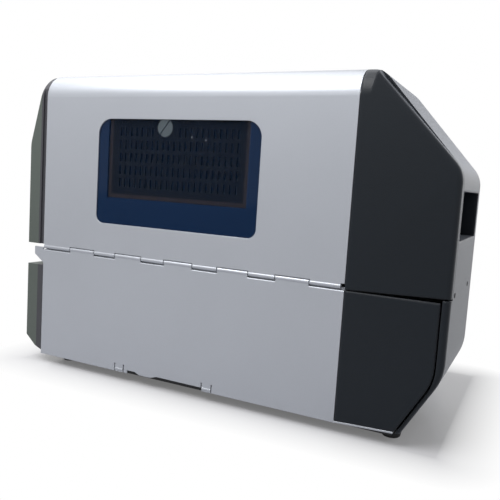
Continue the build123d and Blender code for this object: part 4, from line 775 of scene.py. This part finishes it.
class PRINTER_OT_cover_screws(bpy.types.Operator):
    """Screw the rear frame, the rear panel, the side cover and the base."""

    bl_idname = "printer.cover_screws"
    bl_label = "Cover screws"

    def execute(self, context):
        """Add the outer screws."""
        counterbore = 0.0006
        sunk = 0.0009
        base_z = 0.006
        rear = [(x, REAR_Y - counterbore, 0.1362) for x in (0.115, 0.0295)]
        screws("rear_frame_screws", "chassis", rear, (0, 1, 0), "recess", SMALL_SCREW)
        edge = [(x, PANEL_Y, z) for x in (-0.1225, -0.012) for z in (0.080, 0.150, 0.214)]
        screws("rear_panel_screws", "chassis", edge, (0, 1, 0))
        side = [(sunk - HALF_WIDTH, y, 0.020) for y in (-0.190, -0.015, 0.160)]
        screws("side_cover_screws", "chassis", side, (-1, 0, 0), scale=SMALL_SCREW)
        under = [(x, y, base_z) for x in (-0.060, 0.030, 0.095) for y in (-0.190, -0.030, 0.130)]
        screws("base_screws", "chassis", under, (0, 0, -1))
        return {"FINISHED"}


class PRINTER_OT_inner_screws(bpy.types.Operator):
    """Screw the mechanism to its wall and the liners to the doors."""

    bl_idname = "printer.inner_screws"
    bl_label = "Inner screws"

    def execute(self, context):
        """Add the screws behind the doors."""
        hanger_x = WALL_X + 0.003
        hanger_y, hanger_half = 0.110, 0.0185
        motor_y, motor_z = -0.150, 0.060
        motor_corners = ((-0.028, -0.023), (0.028, -0.023), (0.028, 0.023))
        unit_y, unit_top = -0.142, 0.096
        liner_x = FACE_X - 0.0045
        sides = (-hanger_half, hanger_half)
        hanger = [(hanger_x, hanger_y + dy, z) for dy in sides for z in (0.151, 0.180)]
        screws("hanger_screws", "chassis", hanger, (1, 0, 0))
        motor = [(WALL_X, motor_y + dy, motor_z + dz) for dy, dz in motor_corners]
        screws("motor_post_screws", "chassis", motor, (1, 0, 0))
        unit = [(x, unit_y, unit_top) for x in (0.020, 0.105)]
        screws("print_unit_screws", "chassis", unit, (0, 0, 1))
        upper = [(liner_x, y, z) for y in (-0.190, 0.100, 0.170) for z in (0.155, 0.270)]
        screws("upper_liner_screws", "upper_door", upper, (-1, 0, 0), scale=SMALL_SCREW)
        lower = [(liner_x, y, 0.112) for y in (-0.190, -0.060, 0.070, 0.190)]
        screws("lower_liner_screws", "lower_door", lower, (-1, 0, 0), scale=SMALL_SCREW)
        return {"FINISHED"}


class PRINTER_OT_window_rivets(bpy.types.Operator):
    """Rivet the slotted panel behind the window."""

    bl_idname = "printer.window_rivets"
    bl_label = "Window rivets"

    def execute(self, context):
        """Add two steel rivets in the slotted panel's face."""
        radius, height, bevel = 0.0011, 0.0004, 0.0002
        foot_x = GRILLE_HIGH.x - 0.00035
        bm = bmesh.new()
        for y, z in ((-0.0240, 0.2609), (-0.0079, 0.2584)):
            disc(bm, (foot_x, y, z), (1, 0, 0), radius, height, bevel, 16)
        piece("window_rivets", "upper_door", "screw", bm)
        return {"FINISHED"}


class PRINTER_OT_grip_tabs(bpy.types.Operator):
    """Curl the two grip tabs of the lower door outwards."""

    bl_idname = "printer.grip_tabs"
    bl_label = "Grip tabs"

    def execute(self, context):
        """Add a rounded roll over each tab."""
        roll, width = 0.0024, 0.0102
        roll_x = FACE_X + 0.0005 - roll
        roll_z = DOOR_LOW_Z + 0.0026
        bm = bmesh.new()
        for middle in (-0.0986, 0.0100):
            disc(bm, (roll_x, middle - width / 2, roll_z), (0, 1, 0), roll, width, segments=32)
        piece("grip_tab_rolls", "lower_door", "silver", bm)
        return {"FINISHED"}


class PRINTER_OT_key_symbols(bpy.types.Operator):
    """Mark the keys with plain symbols."""

    bl_idname = "printer.key_symbols"
    bl_label = "Key symbols"

    def execute(self, context):
        """Add a raised symbol on each key."""
        thick = context.scene.printer_fasteners.symbol_height * 2
        turns = {"key_up": 0, "key_left": 90, "key_down": 180, "key_right": 270}
        arrow_radius, small_arrow, dot_radius = 0.0026, 0.0020, 0.0019
        pause_bar, pause_half = (0.0011, thick, 0.0045), 0.0012
        cross_bar = (0.0009, thick, 0.0058)
        feed_bar, feed_rise, feed_drop = (0.0060, thick, 0.0010), 0.0014, 0.0012
        for key in KEYS:
            low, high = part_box(key)
            middle = (low + high) / 2
            at = Vector((middle.x, low.y, middle.z))
            bm = bmesh.new()
            if key in turns:
                self.arrow(bm, at, turns[key], arrow_radius, thick)
            elif key == "key_pause":
                for aside in (-pause_half, pause_half):
                    slab(bm, at + Vector((aside, 0, 0)), pause_bar)
            elif key == "key_cancel":
                for angle in (45, -45):
                    turn = Matrix.Rotation(math.radians(angle), 4, "Y")
                    slab(bm, at, cross_bar, turn)
            elif key == "key_feed":
                slab(bm, at + Vector((0, 0, feed_rise)), feed_bar)
                self.arrow(bm, at - Vector((0, 0, feed_drop)), turns["key_down"], small_arrow, thick)
            else:
                disc(bm, at + Vector((0, thick / 2, 0)), (0, -1, 0), dot_radius, thick, segments=28)
            piece(key + "_symbol", key, "mark", bm)
        return {"FINISHED"}

    def arrow(self, bm, at, turn, radius, thick):
        """Three-sided arrowhead that points up, turned on the key's face."""
        spin = Matrix.Rotation(math.radians(-turn), 4, "Y") @ Matrix.Rotation(math.radians(90), 4, "X")
        prism(bm, Matrix.Translation(at) @ spin, radius, thick, 3)


class PRINTER_OT_status_lamps(bpy.types.Operator):
    """Set three status lamps in the keypad's plate."""

    bl_idname = "printer.status_lamps"
    bl_label = "Status lamps"

    def execute(self, context):
        """Add the lamps beside the direction keys."""
        lamp_x, mark_x = KEYPAD_X - 0.033, KEYPAD_X - 0.027
        first_z, pitch = KEYPAD_HIGH.z - 0.017, 0.010
        face = KEYPAD_LOW.y
        sunk = 0.0002
        radius, height, bevel = 0.0016, 0.0009, 0.0005
        mark_size = (0.0050, 0.0002, 0.0007)
        for index, finish in enumerate(("lamp_green", "lamp_amber", "lamp_amber")):
            z = first_z - index * pitch
            bm = bmesh.new()
            disc(bm, (lamp_x, face + sunk, z), (0, -1, 0), radius, height, bevel)
            piece(f"status_lamp_{index + 1}", "chassis", finish, bm)
            mark = bmesh.new()
            slab(mark, (mark_x, face, z), mark_size)
            piece(f"status_mark_{index + 1}", "chassis", "pale_mark", mark)
        return {"FINISHED"}


class PRINTER_OT_port_details(bpy.types.Operator):
    """Fit the contacts and lamps of the data sockets."""

    bl_idname = "printer.port_details"
    bl_label = "Socket contacts"

    def execute(self, context):
        """Add gold contacts and two lamp windows."""
        network = (NETWORK_X, PANEL_Y - 0.0065, 0.1076)
        network_blade, network_pitch = (0.00045, 0.0080, 0.0009), 0.00102
        data = (USB_X, PANEL_Y - 0.0050, 0.1056)
        data_blade, data_pitch = (0.0007, 0.0050, 0.0003), 0.0013
        lamps = (NETWORK_X, PANEL_Y + 0.0009, 0.1098)
        lamp, lamp_pitch = (0.0024, 0.0004, 0.0016), 0.012
        self.row("network_contacts", "bronze", "gold", network, network_blade, 8, network_pitch)
        self.row("data_contacts", "bronze", "gold", data, data_blade, 4, data_pitch)
        self.row("network_lamps", "lens", "lamp_green", lamps, lamp, 2, lamp_pitch)
        return {"FINISHED"}

    def row(self, name, slot, finish, middle, size, count, pitch):
        """Row of blocks along X around a point."""
        x, y, z = middle
        bm = bmesh.new()
        for index in range(count):
            slab(bm, (x + (index - (count - 1) / 2) * pitch, y, z), size)
        piece(name, "chassis", finish, bm)


class PRINTER_OT_studio(bpy.types.Operator):
    """Set up the pale floor, the soft lamps and the camera."""

    bl_idname = "printer.studio"
    bl_label = "Studio"

    def execute(self, context):
        """Build the stage."""
        settings = context.scene.printer_studio
        context.scene.view_settings.view_transform = "Standard"
        self.lay_floor(settings)
        self.light_room(context, settings)
        self.hang_lamp("Key lamp", settings.key_power, (0.62, -0.30, 1.12), 0.9)
        self.hang_lamp("Crest lamp", settings.crest_power, (-0.20, -0.70, 1.50), 1.4)
        self.hang_lamp("Rear lamp", settings.rear_power, (-1.05, 0.85, 0.60), 1.0)
        self.place_camera(context, settings)
        return {"FINISHED"}

    def lay_floor(self, settings):
        """Pale floor that fades to white; reflections see the white only where X is below 0."""
        bm = bmesh.new()
        bmesh.ops.create_grid(bm, x_segments=1, y_segments=1, size=settings.floor_half)
        mesh = bpy.data.meshes.new("floor")
        bm.to_mesh(mesh)
        bm.free()
        floor = bpy.data.objects.new("floor", mesh)
        bpy.context.scene.collection.objects.link(floor)
        finish = Finish("Pale floor")
        finish.set(Base_Color=(0.52, 0.52, 0.54), Roughness=0.30, Specular_IOR_Level=0.4)
        across = finish.axis("X")
        beside = (abs(across) - HALF_WIDTH).larger(0.0)
        ahead = (abs(finish.axis("Y")) - REAR_Y).larger(0.0)
        spread = (beside * beside + ahead * ahead) / settings.shadow_end ** 2
        reach = finish.node("ShaderNodeClamp", Value=spread).outputs[0]
        away = Reading(finish, reach) ** settings.shadow_rise
        white = away * (1 - settings.shadow_white) + settings.shadow_white
        path = finish.node("ShaderNodeLightPath")
        rays = ("Camera", "Glossy", "Transmission")
        camera, glossy, through = (Reading(finish, path.outputs[f"Is {ray} Ray"]) for ray in rays)
        seen = camera.larger(through).larger(glossy * (across < 0.0))
        glow = finish.node("ShaderNodeEmission", Color=(1.0, 1.0, 1.0), Strength=1.0)
        blend = finish.node("ShaderNodeMixShader")
        factor, bare, lit = blend.inputs
        finish.plug(factor, white * seen)
        finish.plug(bare, finish.shader.outputs[0])
        finish.plug(lit, glow.outputs[0])
        output = next(n for n in finish.tree.nodes if n.type == "OUTPUT_MATERIAL")
        finish.plug(output.inputs["Surface"], blend.outputs[0])
        mesh.materials.append(finish.material)

    def light_room(self, context, settings):
        """Even room light, white to the camera and in reflections."""
        world = bpy.data.worlds.new("Room")
        context.scene.world = world
        world.use_nodes = True
        tree = world.node_tree
        background = next(n for n in tree.nodes if n.type == "BACKGROUND")
        background.inputs["Color"].default_value = (1.0, 1.0, 1.0, 1.0)
        path = tree.nodes.new("ShaderNodeLightPath")
        seen = path.outputs["Is Camera Ray"]
        for ray in ("Is Transmission Ray", "Is Glossy Ray"):
            either = tree.nodes.new("ShaderNodeMath")
            either.operation = "MAXIMUM"
            tree.links.new(seen, either.inputs[0])
            tree.links.new(path.outputs[ray], either.inputs[1])
            seen = either.outputs[0]
        strength = tree.nodes.new("ShaderNodeMapRange")
        strength.inputs["To Min"].default_value = settings.sky
        strength.inputs["To Max"].default_value = 1.0
        tree.links.new(seen, strength.inputs["Value"])
        tree.links.new(strength.outputs[0], background.inputs["Strength"])

    def hang_lamp(self, name, power, place, size):
        """Large soft area lamp aimed at the printer's middle."""
        lamp = bpy.data.lights.new(name, "AREA")
        lamp.energy = power
        lamp.shape = "DISK"
        lamp.size = size
        holder = bpy.data.objects.new(name, lamp)
        bpy.context.scene.collection.objects.link(holder)
        turn = (Vector(place) - Vector(PRINTER_MIDDLE)).to_track_quat("Z", "Y")
        holder.matrix_world = Matrix.Translation(place) @ turn.to_matrix().to_4x4()

    def place_camera(self, context, settings):
        """Camera at the photograph's viewpoint."""
        eye = (0.6481, 0.2988, 0.2184)
        right = Vector((-0.44249, 0.89451, 0.06365))
        up = Vector((-0.06812, -0.10430, 0.99221))
        back = Vector((0.89418, 0.43471, 0.10709))
        camera = bpy.data.cameras.new("Camera")
        camera.lens = settings.focal_length
        camera.sensor_width = 36.0
        holder = bpy.data.objects.new("Camera", camera)
        bpy.context.scene.collection.objects.link(holder)
        turn = Matrix((right, up, back)).transposed().to_4x4()
        holder.matrix_world = Matrix.Translation(eye) @ turn
        context.scene.camera = holder


class PRINTER_PT_panel(bpy.types.Panel):
    """Printer settings and steps."""

    bl_idname = "PRINTER_PT_panel"
    bl_label = "Label printer"
    bl_space_type = "VIEW_3D"
    bl_region_type = "UI"
    bl_category = "Printer"

    def draw(self, context):
        """List the settings and the operators."""
        column = self.layout.column()
        for group in ("printer_finishes", "printer_fasteners", "printer_studio"):
            held = getattr(context.scene, group)
            for name in type(held).__annotations__:
                column.prop(held, name)
        for step in STEPS:
            column.operator(step.bl_idname)


GROUPS = {
    "printer_finishes": PrinterFinishes,
    "printer_fasteners": PrinterFasteners,
    "printer_studio": StudioSettings,
}
STEPS = (
    PRINTER_OT_finishes,
    PRINTER_OT_wing_tip,
    PRINTER_OT_cover_screws,
    PRINTER_OT_inner_screws,
    PRINTER_OT_window_rivets,
    PRINTER_OT_grip_tabs,
    PRINTER_OT_key_symbols,
    PRINTER_OT_status_lamps,
    PRINTER_OT_port_details,
    PRINTER_OT_studio,
)


def register():
    """Register the classes and attach the settings to the scene."""
    for group in GROUPS.values():
        bpy.utils.register_class(group)
    for step in (*STEPS, PRINTER_PT_panel):
        bpy.utils.register_class(step)
    for name, group in GROUPS.items():
        setattr(bpy.types.Scene, name, bpy.props.PointerProperty(type=group))


def unregister():
    """Detach the settings and unregister the classes."""
    for name in GROUPS:
        delattr(bpy.types.Scene, name)
    for step in (PRINTER_PT_panel, *reversed(STEPS)):
        bpy.utils.unregister_class(step)
    for group in reversed(list(GROUPS.values())):
        bpy.utils.unregister_class(group)


def main():
    """Run every step in order."""
    register()
    for step in STEPS:
        area, action = step.bl_idname.split(".")
        getattr(getattr(bpy.ops, area), action)()
    bpy.context.view_layer.update()


if __name__ == "__main__":
    main()
